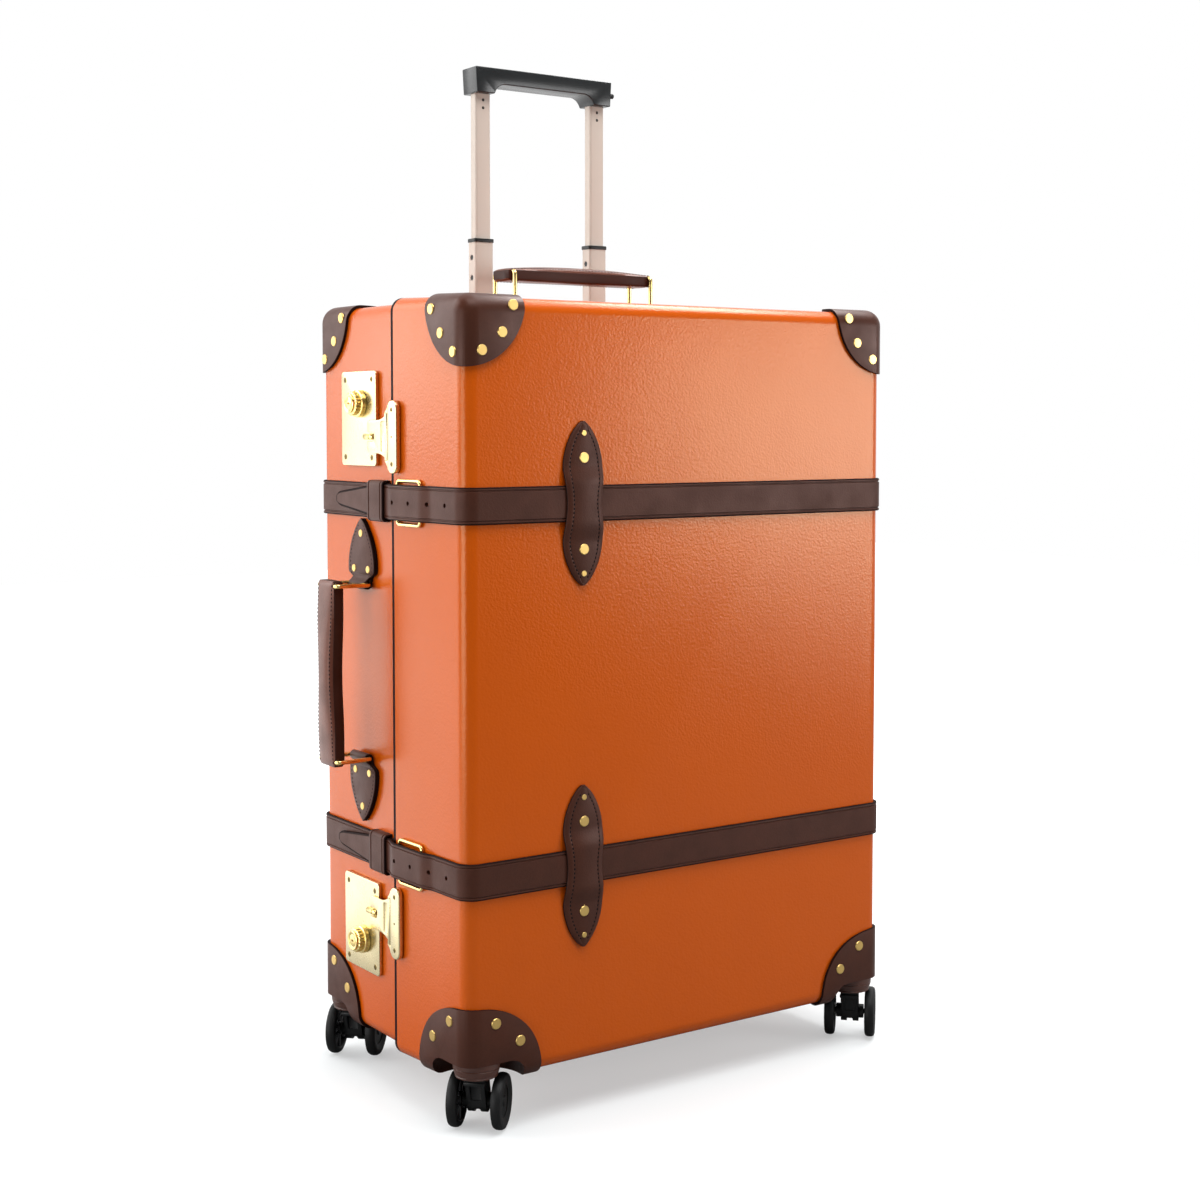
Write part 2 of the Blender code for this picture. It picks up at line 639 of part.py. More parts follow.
def make_strap_lid(name, height, lid):
    """Lid length of a strap: hinge side, front, lock side, over the buckle and on to the base as a tongue."""
    radius = EDGE_RADIUS + SEAT
    plan = [(lid_x(RIM_Y - STRAP_END_GAP) + SEAT, RIM_Y - STRAP_END_GAP)]
    plan += [(px * lid_x(py) / HALF_WIDTH, py) for px, py in strap_corner(1, -1, radius, 0, -90)]
    plan += [(px * lid_x(py) / HALF_WIDTH, py) for px, py in strap_corner(-1, -1, radius, 270, 180)]
    raised = 2 * SEAT + 2 * BUCKLE_WIRE
    buckle_near = BUCKLE_Y - BUCKLE_LENGTH / 2 - 2 * BUCKLE_WIRE
    buckle_far = BUCKLE_Y + BUCKLE_LENGTH / 2 + 2 * BUCKLE_WIRE
    ramp = 2 * LOOP_RAMP
    plan.append((-lid_x(buckle_near - ramp) - SEAT, buckle_near - ramp))
    plan.append((-lid_x(buckle_near) - raised, buckle_near))
    plan.append((-lid_x(buckle_far) - raised, buckle_far))
    on_base = -(HALF_WIDTH + 2 * SEAT + STRAP_LEATHER)
    plan.append((on_base, KEEPER_Y - KEEPER_LENGTH / 2 - KEEPER_PLAY))
    half = STRAP_WIDTH / 2
    halves = [half] * len(plan)
    taper_y = KEEPER_Y + KEEPER_LENGTH / 2
    for share in (0.0, 0.5, 0.93, 1.0):
        plan.append((on_base, taper_y + (TONGUE_TIP_Y - taper_y) * share))
        end = TONGUE_TIP_HALF if share < 1.0 else TONGUE_TIP_HALF / 2
        halves.append(half + (end - half) * share)
    centres = [(px, py, height) for px, py in plan]
    strap = add_part("strap_lid_" + name, ribbon(centres, halves, (0, 0, 1), (0, -1, 0)), lid, LEATHER)
    thicken(strap, STRAP_LEATHER)
    for i in range(HOLE_COUNT):
        y = RIM_Y - FIRST_HOLE_INSET - i * HOLE_PITCH
        punch = rod(HOLE_RADIUS, EDGE_RADIUS, (-lid_x(y) - EDGE_RADIUS / 2, y, height), "X", 8)
        cut(strap, punch, "hole_" + str(i))


def make_keeper(name, height, base):
    leg = STRAP_WIDTH / 2 + KEEPER_PLAY
    foot = -(HALF_WIDTH + SEAT)
    roof = -(HALF_WIDTH + 2 * (SEAT + STRAP_LEATHER) + KEEPER_PLAY)
    centres = [(foot, KEEPER_Y, height - leg), (roof, KEEPER_Y, height - leg),
               (roof, KEEPER_Y, height + leg), (foot, KEEPER_Y, height + leg)]
    strip = ribbon(centres, [KEEPER_LENGTH / 2] * 4, (0, 1, 0), (-1, 0, 0))
    thicken(add_part("strap_keeper_" + name, strip, base, LEATHER), KEEPER_LEATHER)


def make_buckle(name, height, lid):
    points = []
    for along, up in rounded_outline(BUCKLE_LENGTH, BUCKLE_HEIGHT, 2 * BUCKLE_WIRE):
        y = BUCKLE_Y + along
        points.append((-lid_x(y) - SEAT - BUCKLE_WIRE, y, height + up))
    add_part("strap_buckle_" + name, wire_loop(points, BUCKLE_WIRE), lid, BRASS)


def loop_half_width(offset):
    """Half width of a strap loop: two lobes, a waist between them and a point at each end."""
    offset = abs(offset)
    if offset < LOOP_LOBE_AT:
        swell = (1.0 - math.cos(math.pi * offset / LOOP_LOBE_AT)) / 2
        return (LOOP_WAIST + (LOOP_LOBE - LOOP_WAIST) * swell) / 2
    return point_half_width(LOOP_LENGTH / 2 - offset, LOOP_LENGTH / 2 - LOOP_LOBE_AT, LOOP_LOBE / 2)


def make_strap_loop(name, height, parent, y_sign):
    """Stitched leather loop that bridges a strap and lies on the shell at both ends."""
    low = y_sign * (BACK_Y + SEAT)
    high = y_sign * (BACK_Y + 2 * SEAT + STRAP_LEATHER)
    edge = STRAP_WIDTH / 2 + 2 * SEAT
    stops = [LOOP_LENGTH / 2 * share for share in (1.0, 0.97, 0.92, 0.84, 0.73, 0.6, 0.48)]
    stops += [edge + LOOP_RAMP, edge, edge / 2]
    stops = sorted(stops, reverse=True)
    offsets = [-stop for stop in stops] + [0.0] + stops[::-1]
    centres = []
    for offset in offsets:
        over = max(0.0, min(1.0, (edge + LOOP_RAMP - abs(offset)) / LOOP_RAMP))
        centres.append((LOOP_X, low + (high - low) * over, height + offset))
    halves = [loop_half_width(offset) for offset in offsets]
    strip = ribbon(centres, halves, (1, 0, 0), (0, y_sign, 0))
    thicken(add_part(name, strip, parent, LEATHER), LOOP_LEATHER)


def make_lock(name, up, base, lid):
    """Lock plate, key knob, hinged hasp and the hasp's bar; up is 1 above the middle and -1 below it."""
    middle = MID_Z + up * LOCK_HEIGHT
    wall = -(HALF_WIDTH + SEAT)
    face = wall - PLATE_BRASS
    knob_z = middle + up * KNOB_RISE
    hasp_z = middle - up * HASP_DROP
    low = (face, LOCK_Y - PLATE_WIDTH / 2, middle - PLATE_LENGTH / 2)
    high = (wall, LOCK_Y + PLATE_WIDTH / 2, middle + PLATE_LENGTH / 2)
    plate = add_part("lock_plate_" + name, block(low, high, PLATE_ROUND, 3, 0), base, BRASS)
    hasp_end = HASP_Y + HASP_REACH
    catch_y = hasp_end - HASP_NOTCH_DEPTH + CATCH_RADIUS + CATCH_LENGTH / 2
    join(plate, rod(CATCH_RADIUS, CATCH_LENGTH, (face - CATCH_RADIUS / 2, catch_y, hasp_z), "Y", PIN_SIDES), "catch")
    cut(plate, rod(KNOB_SHAFT_RADIUS + STEM_PLAY, 3 * PLATE_BRASS, (face, KNOB_Y, knob_z), "X"), "knob_hole")

    turn = empty("knob_axis_" + name, base, (face, KNOB_Y, knob_z), (0, math.radians(-90), 0))
    ridge = KNOB_RADIUS * 0.12
    profile = [
        (0.0, KNOB_LENGTH), (KNOB_RADIUS - ridge, KNOB_LENGTH), (KNOB_RADIUS, KNOB_LENGTH - ridge),
        (KNOB_RADIUS, KNOB_COLLAR + ridge), (KNOB_COLLAR_RADIUS - ridge, KNOB_COLLAR),
        (KNOB_COLLAR_RADIUS, KNOB_COLLAR - ridge), (KNOB_COLLAR_RADIUS, SEAT), (KNOB_SHAFT_RADIUS, SEAT),
        (KNOB_SHAFT_RADIUS, SEAT - PLATE_BRASS), (0.0, SEAT - PLATE_BRASS),
    ]
    add_part("lock_knob_" + name, turned(profile, ROUND_SIDES), turn, BRASS)

    pivot_x = -(LID_SIDE_X + HASP_KNUCKLE)
    pivot_y = HASP_Y
    pivot = empty("hasp_axis_" + name, lid, (pivot_x, pivot_y, hasp_z))
    half = HASP_HEIGHT / 2
    arm_in = face - HASP_LIFT - pivot_x
    foot = HASP_FOOT / 2
    edge = [(0.0, foot)]
    for angle in (0, 30, 60, 90):
        sweep = math.radians(angle)
        edge.append((HASP_KNUCKLE + HASP_FLARE * (1 - math.cos(sweep)), foot - (foot - half) * math.sin(sweep)))
    edge += [(HASP_REACH - PLATE_ROUND, half), (HASP_REACH, half - PLATE_ROUND)]
    outline = [(y, -z) for y, z in edge] + edge[::-1]
    hasp = add_part("lock_hasp_" + name, prism(outline, "X", arm_in - HASP_BRASS, arm_in), pivot, BRASS)
    join(hasp, rod(HASP_KNUCKLE, HASP_FOOT, (0, 0, 0), "Z"), "knuckle")
    cut(hasp, rod(HASP_PIN + STEM_PLAY, 2 * HASP_FOOT, (0, 0, 0), "Z", PIN_SIDES), "pin_bore")
    thick = HASP_KNUCKLE * 4
    window_y = HASP_KNUCKLE + HASP_BRASS
    window_half = half - HASP_BRASS
    cut(hasp, block((-thick, window_y, -window_half), (thick, window_y + HASP_WINDOW_WIDTH, window_half)), "window")
    notch = HASP_NOTCH / 2
    notch_y = HASP_REACH - HASP_NOTCH_DEPTH
    cut(hasp, block((-thick, notch_y, -notch), (thick, HASP_REACH + thick, notch)), "notch")

    bar_far = RIM_Y - 4 * SEAT
    low = (-LID_SIDE_X - BAR_BRASS, bar_far - BAR_WIDTH, hasp_z - BAR_LENGTH / 2)
    high = (-LID_SIDE_X, bar_far, hasp_z + BAR_LENGTH / 2)
    bar = add_part("lock_bar_" + name, block(low, high, BAR_WIDTH * 0.4, 4, 0), lid, BRASS)
    for end in (-1, 1):
        lug_z = hasp_z + end * (foot + SEAT + BAR_LUG / 2)
        join(bar, rod(HASP_KNUCKLE, BAR_LUG, (pivot_x, pivot_y, lug_z), "Z"), "lug_" + str(end))
        near = (-LID_SIDE_X - BAR_BRASS, bar_far - HASP_KNUCKLE, lug_z - BAR_LUG / 2)
        far = (-LID_SIDE_X - SEAT, pivot_y, lug_z + BAR_LUG / 2)
        join(bar, block(near, far), "ear_" + str(end))
    pin_length = HASP_FOOT + 2 * SEAT + BAR_LUG
    join(bar, rod(HASP_PIN, pin_length, (pivot_x, pivot_y, hasp_z), "Z", PIN_SIDES), "pin")


def make_tab(name, end, frame):
    """Shield-shaped leather tab, folded round the inner bar of a ring."""
    eye_x = end * HANDLE_SPAN / 2
    widest = TAB_LENGTH * 0.31
    steps = [(0.0, TAB_NECK / 2), (TAB_LENGTH * 0.13, TAB_NECK / 2), (TAB_LENGTH * 0.19, TAB_WIDTH * 0.46),
             (widest, TAB_WIDTH / 2)]
    for share in (0.25, 0.45, 0.62, 0.76, 0.87, 0.95, 1.0):
        distance = widest + (TAB_LENGTH - widest) * share
        steps.append((distance, point_half_width(TAB_LENGTH - distance, TAB_LENGTH - widest, TAB_WIDTH / 2)))
    centres = [(eye_x + end * distance, 0.0, SEAT) for distance, _ in steps]
    strip = ribbon(centres, [half for _, half in steps], (0, 1, 0), (0, 0, 1))
    tab = add_part(name, strip, frame, LEATHER)
    thicken(tab, TAB_LEATHER)
    join(tab, rod(TAB_EYE_RADIUS, TAB_NECK - 2 * SEAT, (eye_x, 0, RING_AXIS), "Y"), "fold")
    cut(tab, rod(RING_WIRE + RING_PLAY, 2 * TAB_NECK, (eye_x, 0, RING_AXIS), "Y", PIN_SIDES), "bar_hole")


def make_ring(name, end, frame):
    pivot = empty(name + "_axis", frame, (end * HANDLE_SPAN / 2, 0.0, RING_AXIS))
    outline = rounded_outline(RING_WIDTH, RING_LENGTH, RING_ROUND)
    points = [(0.0, across, along + RING_LENGTH / 2) for across, along in outline]
    add_part(name, wire_loop(points, RING_WIRE), pivot, BRASS)
    return pivot


def make_carry_handle(prefix, frame, ends):
    """Two tabs, two rings and a waisted grip; ends names the tab at -X and the one at +X of the handle's frame."""
    for end, end_name in zip((-1, 1), ends):
        make_tab(prefix + "_tab_" + end_name, end, frame)
    pivots = [make_ring(prefix + "_ring_" + end_name, end, frame) for end, end_name in zip((-1, 1), ends)]
    holder = empty(prefix + "_grip_axis", pivots[0], (0.0, 0.0, RING_LENGTH))
    reach = HANDLE_SPAN / 2 + GRIP_END
    shares = (-1.0, -0.9, -0.7, -0.45, -0.2, 0.0, 0.2, 0.45, 0.7, 0.9, 1.0)
    centres = [(HANDLE_SPAN / 2 + reach * share, 0.0, -GRIP_THICKNESS / 2) for share in shares]
    halves = []
    for share in shares:
        swell = (1.0 - math.cos(math.pi * min(1.0, abs(share) / 0.7))) / 2
        halves.append((GRIP_WAIST + (GRIP_END_WIDTH - GRIP_WAIST) * swell) / 2)
    grip = add_part(prefix + "_grip", ribbon(centres, halves, (0, 1, 0), (0, 0, 1)), holder, LEATHER)
    thicken(grip, GRIP_THICKNESS)
    soften = grip.modifiers.new("soft_edges", "BEVEL")
    soften.width = GRIP_ROUND
    soften.segments = 2
    soften.limit_method = "ANGLE"
    soften.angle_limit = math.radians(50)
    for x, label in ((0.0, "first"), (HANDLE_SPAN, "second")):
        cut(grip, rod(RING_WIRE + RING_PLAY, 2 * RING_WIDTH, (x, 0, 0), "Y", PIN_SIDES), label + "_bar_hole")


def post(size, grow, low, high, middle):
    """Upright rectangular bar with rounded edges, grown on its four sides."""
    half_x = size[0] / 2 + grow
    half_y = size[1] / 2 + grow
    return block((middle - half_x, TROLLEY_Y - half_y, low), (middle + half_x, TROLLEY_Y + half_y, high),
                 TUBE_ROUND, 2, 2)


def make_trolley(base):
    sleeve_grow = TUBE_PLAY + SLEEVE_WALL
    floor = BOARD + SEAT
    half_x = TROLLEY_SPACING / 2 + LOWER_TUBE[0] / 2 + sleeve_grow
    half_y = LOWER_TUBE[1] / 2 + sleeve_grow
    bracket = block((-half_x, TROLLEY_Y - half_y, floor), (half_x, TROLLEY_Y, EDGE_RADIUS + BRACKET))
    housing = add_part("trolley_housing", bracket, base, STEEL)
    flange_top = CASE_HEIGHT + SEAT + FLANGE_HEIGHT
    lower = empty("trolley_lower_axis", base, (0, 0, CASE_HEIGHT))
    upper = empty("trolley_upper_axis", lower, (0, 0, LOWER_SHOWN))
    shell_form = add_tool("trolley_shell_form", case_form(SEAT), base)
    for side, label in ((-1, "lock"), (1, "hinge")):
        middle = side * TROLLEY_SPACING / 2
        join(housing, post(LOWER_TUBE, sleeve_grow, EDGE_RADIUS, flange_top - SEAT, middle), "sleeve_" + label)
        flange = add_tool(
            "trolley_flange_" + label,
            post(LOWER_TUBE, sleeve_grow + FLANGE_BRIM, CASE_HEIGHT - EDGE_RADIUS, flange_top, middle), base,
        )
        combine(flange, "DIFFERENCE", shell_form)
        combine(housing, "UNION", flange)
        cut(housing, post(LOWER_TUBE, TUBE_PLAY, EDGE_RADIUS + 2 * BRACKET, flange_top + EDGE_RADIUS, middle), "bore_" + label)

        tube = add_part("trolley_lower_tube_" + label, post(LOWER_TUBE, 0.0, -LOWER_HIDDEN, LOWER_SHOWN, middle),
                        lower, TUBE)
        join(tube, post(LOWER_TUBE, TUBE_COLLAR_BRIM, LOWER_SHOWN - TUBE_COLLAR, LOWER_SHOWN + SEAT, middle), "collar")
        cut(tube, post(UPPER_TUBE, TUBE_PLAY, -2 * LOWER_HIDDEN, 2 * LOWER_SHOWN, middle), "bore")
        top = UPPER_SHOWN + SOCKET_DEPTH - SEAT
        tube = add_part("trolley_upper_tube_" + label, post(UPPER_TUBE, 0.0, -UPPER_HIDDEN, top, middle), upper, TUBE)
        cut(tube, post(UPPER_TUBE, -TUBE_WALL, -2 * UPPER_HIDDEN, 2 * UPPER_SHOWN, middle), "bore")
    make_trolley_grip(upper)
    return lower, upper


def make_trolley_grip(upper):
    half = TROLLEY_GRIP_LENGTH / 2
    top = UPPER_SHOWN + TROLLEY_GRIP_HEIGHT
    bar = top - TROLLEY_GRIP_BAR
    foot = half - TROLLEY_GRIP_FOOT
    inner = foot - TROLLEY_GRIP_CHAMFER
    outline = [(-half, UPPER_SHOWN), (-foot, UPPER_SHOWN), (-inner, bar), (inner, bar), (foot, UPPER_SHOWN),
               (half, UPPER_SHOWN), (half, top), (-half, top)]
    near = TROLLEY_Y - TROLLEY_GRIP_DEPTH / 2
    body = prism(outline, "Y", near, near + TROLLEY_GRIP_DEPTH)
    bmesh.ops.bevel(body, geom=body.edges[:], offset=TROLLEY_GRIP_ROUND, segments=2, profile=0.5, affect="EDGES")
    grip = add_part("trolley_grip", body, upper, GREY)
    for side in (-1, 1):
        socket = post(UPPER_TUBE, TUBE_PLAY, UPPER_SHOWN - SOCKET_DEPTH, UPPER_SHOWN + SOCKET_DEPTH,
                      side * TROLLEY_SPACING / 2)
        cut(grip, socket, "socket_" + str(side))
    bore_end = half - BUTTON_DEPTH
    height = UPPER_SHOWN + BUTTON_RISE
    button_y = TROLLEY_Y - BUTTON_SHIFT
    bore = rod(BUTTON_RADIUS + STEM_PLAY, 2 * BUTTON_DEPTH, (half, button_y, height), "X")
    cut(grip, bore, "button_bore")
    press = empty("trolley_button_axis", upper, (half, button_y, height))
    tail = bore_end + BUTTON_PROUD - half
    length = BUTTON_PROUD - tail
    add_part("trolley_button", rod(BUTTON_RADIUS, length, ((BUTTON_PROUD + tail) / 2, 0, 0), "X"), press, GREY)


def make_hinge(base, lid):
    """Knuckled leaf hinge on the far side, between the straps, with its barrel outside the walls."""
    pitch = HINGE_LENGTH / HINGE_KNUCKLES
    low_z = MID_Z - HINGE_LENGTH / 2
    clear = KNUCKLE_RADIUS + 2 * KNUCKLE_PLAY
    wall = HALF_WIDTH + SEAT
    base_near = RIM_Y + clear
    centres = [(wall, base_near, MID_Z), (wall, base_near + HINGE_LEAF_WIDTH, MID_Z)]
    halves = [HINGE_LENGTH / 2] * 2
    base_leaf = add_part("hinge_leaf_base", ribbon(centres, halves, (0, 0, 1), (1, 0, 0)), base, BRASS)
    thicken(base_leaf, HINGE_LEAF)
    lid_near = RIM_Y - clear
    lid_end = lid_near - HINGE_LEAF_WIDTH
    centres = [(lid_x(lid_end) + SEAT, lid_end, MID_Z), (lid_x(lid_near) + SEAT, lid_near, MID_Z)]
    lid_leaf = add_part("hinge_leaf_lid", ribbon(centres, halves, (0, 0, 1), (1, 0, 0)), lid, BRASS)
    thicken(lid_leaf, HINGE_LEAF)
    for i in range(HINGE_KNUCKLES):
        low = low_z + i * pitch + KNUCKLE_PLAY
        high = low_z + (i + 1) * pitch - KNUCKLE_PLAY
        leaf = base_leaf if i % 2 == 0 else lid_leaf
        barrel = rod(KNUCKLE_RADIUS, high - low, (HINGE_X, RIM_Y, (low + high) / 2), "Z")
        if i % 2 == 0:
            web = block((wall, RIM_Y + HINGE_LEAF, low), (HINGE_X, base_near + HINGE_LEAF, high))
        else:
            web = block((LID_SIDE_X, lid_near - HINGE_LEAF, low), (LID_SIDE_X + HINGE_LEAF, RIM_Y - SEAT, high))
        join(leaf, web, "web_" + str(i))
        join(leaf, barrel, "knuckle_" + str(i))
        bore = rod(HINGE_PIN_RADIUS + KNUCKLE_PLAY, 2 * pitch, (HINGE_X, RIM_Y, (low + high) / 2), "Z", PIN_SIDES)
        cut(leaf, bore, "bore_" + str(i))
    pin = rod(HINGE_PIN_RADIUS, HINGE_LENGTH + 2 * HINGE_PIN_RADIUS, (HINGE_X, RIM_Y, MID_Z), "Z", PIN_SIDES)
    add_part("hinge_pin", pin, base, BRASS)


def centre_over_origin(root):
    """Puts the middle of the object's footprint over the world origin."""
    bpy.context.view_layer.update()
    graph = bpy.context.evaluated_depsgraph_get()
    corners = []
    for part in PARTS.objects:
        if part.type == "MESH":
            shaped = part.evaluated_get(graph)
            corners += [part.matrix_world @ Vector(corner) for corner in shaped.bound_box]
    for axis in (0, 1):
        values = [corner[axis] for corner in corners]
        root.location[axis] -= (min(values) + max(values)) / 2


def main():
    root = empty("suitcase_root", None, (0.0, 0.0, CASTOR_HEIGHT))
    base = empty("base_frame", root)
    lid_axis = empty("lid_axis", base, (HINGE_X, RIM_Y, 0.0))
    lid = empty("lid_frame", lid_axis, (-HINGE_X, -RIM_Y, 0.0))
    halves = {"base": base, "lid": lid}
    make_shells(base, lid)
    forms = leather_forms(base, lid)
    for name, side, y_sign in CORNERS:
        half = name.split("_")[0]
        make_top_corner(name, side, y_sign, halves[half], forms[half])
        make_castor_corner(name, side, y_sign, halves[half], forms[half])
        make_castor(name, side, y_sign, halves[half])
    for name, up in (("upper", 1), ("lower", -1)):
        height = MID_Z + up * STRAP_HEIGHT
        make_strap_base(name, height, base)
        make_strap_lid(name, height, lid)
        make_keeper(name, height, base)
        make_buckle(name, height, lid)
        make_strap_loop("strap_loop_front_" + name, height, lid, -1)
        make_strap_loop("strap_loop_back_" + name, height, base, 1)
        make_lock(name, up, base, lid)
    side_frame = empty("side_handle_frame", base, (-HALF_WIDTH, SIDE_HANDLE_Y, MID_Z + SIDE_HANDLE_RISE),
                       (0, math.radians(-90), 0))
    make_carry_handle("side_handle", side_frame, ("lower", "upper"))
    top_frame = empty("top_handle_frame", base, (0.0, TOP_HANDLE_Y, CASE_HEIGHT))
    make_carry_handle("top_handle", top_frame, ("lock", "hinge"))
    make_trolley(base)
    make_hinge(base, lid)
    centre_over_origin(root)


main()
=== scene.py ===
"""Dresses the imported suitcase: shells, leather trim, brass, castors, trolley and a plain stage."""

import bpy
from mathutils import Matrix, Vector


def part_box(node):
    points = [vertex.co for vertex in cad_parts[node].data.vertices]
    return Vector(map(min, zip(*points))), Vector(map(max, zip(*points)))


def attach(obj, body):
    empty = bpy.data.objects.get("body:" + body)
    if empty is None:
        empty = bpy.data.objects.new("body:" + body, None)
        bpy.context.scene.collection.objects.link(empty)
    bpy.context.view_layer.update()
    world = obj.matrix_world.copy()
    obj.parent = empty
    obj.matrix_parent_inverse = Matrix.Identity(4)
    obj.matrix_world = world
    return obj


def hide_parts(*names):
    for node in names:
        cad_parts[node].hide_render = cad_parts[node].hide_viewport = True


bl_info = {
    "name": "Trunk Suitcase",
    "version": (1, 0, 0),
    "blender": (4, 5, 0),
    "location": "3D View > Sidebar > Suitcase",
    "description": "Builds the finished pieces of a trunk-style suitcase over its packed model",
    "category": "Object",
}

import math

import bmesh
import bpy
from bpy.props import FloatProperty, FloatVectorProperty, IntProperty, PointerProperty
from mathutils import Matrix, Vector

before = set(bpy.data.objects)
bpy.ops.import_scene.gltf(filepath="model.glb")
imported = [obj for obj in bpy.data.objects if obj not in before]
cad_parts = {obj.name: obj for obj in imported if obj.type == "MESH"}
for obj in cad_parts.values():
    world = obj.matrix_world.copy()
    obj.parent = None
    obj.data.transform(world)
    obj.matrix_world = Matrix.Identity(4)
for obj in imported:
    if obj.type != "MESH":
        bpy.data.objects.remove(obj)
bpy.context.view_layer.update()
BASE_LOW, BASE_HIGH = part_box("base_shell")
LID_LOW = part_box("lid_shell")[0]
WIDTH = BASE_HIGH.x - BASE_LOW.x
HEIGHT = BASE_HIGH.z - BASE_LOW.z
DEPTH = BASE_HIGH.y - LID_LOW.y
# Shapes are made about the middle of the case's footprint and moved there by finish_piece.
ORIGIN = Vector(((BASE_LOW.x + BASE_HIGH.x) / 2, (BASE_HIGH.y + LID_LOW.y) / 2, BASE_LOW.z))
HALF = WIDTH / 2
FRONT = -DEPTH / 2
BACK = DEPTH / 2
MID = HEIGHT / 2
SEAT = 0.0003  # gap between a piece and what carries it
WELD = 0.000005  # points of a turned shape nearer than this are one
SLIVER = 0.000001  # faces and edges smaller than this are cleaned away
# Directions along the floor: away from the camera, and that way mirrored in the lock side.
AWAY = (0.569, 0.822, 0.0)
MIRRORED = (-0.569, 0.822, 0.0)
SIDES = ("lock", "hinge")
CORNERS = (("lid_lock", -1, -1), ("lid_hinge", 1, -1), ("base_lock", -1, 1), ("base_hinge", 1, 1))
AXIS_TURN = {
    "X": Matrix.Rotation(math.radians(90), 4, "Y"),
    "Y": Matrix.Rotation(math.radians(-90), 4, "X"),
    "Z": Matrix.Identity(4),
}


def number(name, description, default, **options):
    return FloatProperty(name=name, description=description, default=default, **options)


def length(name, description, default):
    return number(name, description, default, unit="LENGTH", precision=4)


def power(name, description, default):
    return number(name, description, default, unit="POWER")


def tint(name, description, default):
    return FloatVectorProperty(name=name, description=description, default=default, size=3,
                               subtype="COLOR", min=0.0, max=1.0)


class CaseSizes(bpy.types.PropertyGroup):
    """Sizes of the two shells and their lining."""
    lid_depth: length("Lid depth", "Depth of the lid from its front face to its rim", 0.1325)
    lid_flare: length("Lid flare", "How far the lid's rim stands out beyond its face", 0.005)
    edge_radius: length("Edge radius", "Rounding of the shell's outer edges", 0.014)
    board: length("Board", "Thickness of the fibre board", 0.003)
    rim_overlap: length("Rim overlap", "How far the base's rim reaches into the lid", 0.020)
    # The dark band at the lid's rim is partly edge paint and partly painted shade of the gap to the
    # base.
    rim_paint_and_shade: length("Rim paint", "Width of the dark painted edge on the lid's rim", 0.0042)
    lining: length("Lining", "Thickness of the lining", 0.0015)
    edge_steps: IntProperty(name="Edge steps", description="Facets round each rounded edge",
                            default=10, min=2)


class TrimSizes(bpy.types.PropertyGroup):
    """Sizes of the leather corners, straps and loops."""
    corner_leather: length("Corner leather", "Thickness of the moulded corners", 0.003)
    top_reach: length("Top corner reach", "Radius of the top corners", 0.065)
    foot_reach: length("Foot corner reach", "Reach of the bottom corners on the faces", 0.0815)
    foot_height: length("Foot corner height", "Height of the bottom corners", 0.073)
    strap_width: length("Strap width", "Width of the straps", 0.035)
    strap_leather: length("Strap leather", "Thickness of the straps", 0.0032)
    strap_inset: length("Strap inset", "From a strap's middle to the case's nearer end", 0.194)
    crease: length("Crease inset", "Distance of the pressed line from a strap's edge", 0.0034)
    tongue_reach: length("Tongue reach", "How far a tongue reaches past the rim", 0.119)
    keeper_length: length("Keeper length", "Length of the keeper along the strap", 0.033)
    buckle_wire: length("Buckle wire", "Radius of the buckle's wire", 0.0019)
    loop_x: length("Loop place", "Place of the strap loops across the case", -0.130)
    loop_length: length("Loop length", "Length of the strap loops", 0.158)
    rivet_radius: length("Rivet radius", "Radius of the large rivets", 0.0054)
    stitch_pitch: length("Stitch pitch", "Distance from stitch to stitch", 0.0040)


class CastorSizes(bpy.types.PropertyGroup):
    """Sizes of the twin-wheel castors."""
    inset_x: length("Inset from side", "From the swivel axis to the side face", 0.022)
    inset_y: length("Inset from front", "From the swivel axis to the front or back", 0.020)
    well_radius: length("Well radius", "Radius of the round well in the shell", 0.049)
    well_height: length("Well height", "Height of the well's ceiling", 0.021)
    well_round: length("Well rounding", "Rounding of the well's ceiling edge", 0.016)
    wheel_radius: length("Wheel radius", "Radius of the wheels", 0.0269)
    wheel_width: length("Wheel width", "Width of each wheel", 0.0115)
    fork_width: length("Fork width", "Width over the fork's axle bosses", 0.0296)
    fork_body: length("Fork body", "Width of the fork's body", 0.019)
    trail: length("Trail", "Distance of the axle behind the swivel axis", 0.010)


class HandleSizes(bpy.types.PropertyGroup):
    """Sizes of the two carry handles."""
    ring_width: length("Ring width", "Width of the rings between wire centres", 0.040)
    ring_length: length("Ring length", "Length of the rings between bar centres", 0.036)
    ring_wire: length("Ring wire", "Radius of the ring wire", 0.0023)
    tab_length: length("Tab length", "Length of the shield-shaped tabs", 0.066)
    tab_width: length("Tab width", "Width of the tabs", 0.056)
    tab_neck: length("Tab neck", "Width of a tab where it folds round its ring", 0.0345)
    grip_thickness: length("Grip thickness", "Thickness of the grips at their edges", 0.0108)
    grip_crown: length("Grip crown", "Rise of the padding over the grips' edges", 0.0062)
    grip_end: length("Grip end", "Width of the grips near their ends", 0.034)
    grip_waist: length("Grip waist", "Width of the grips at the waist", 0.027)


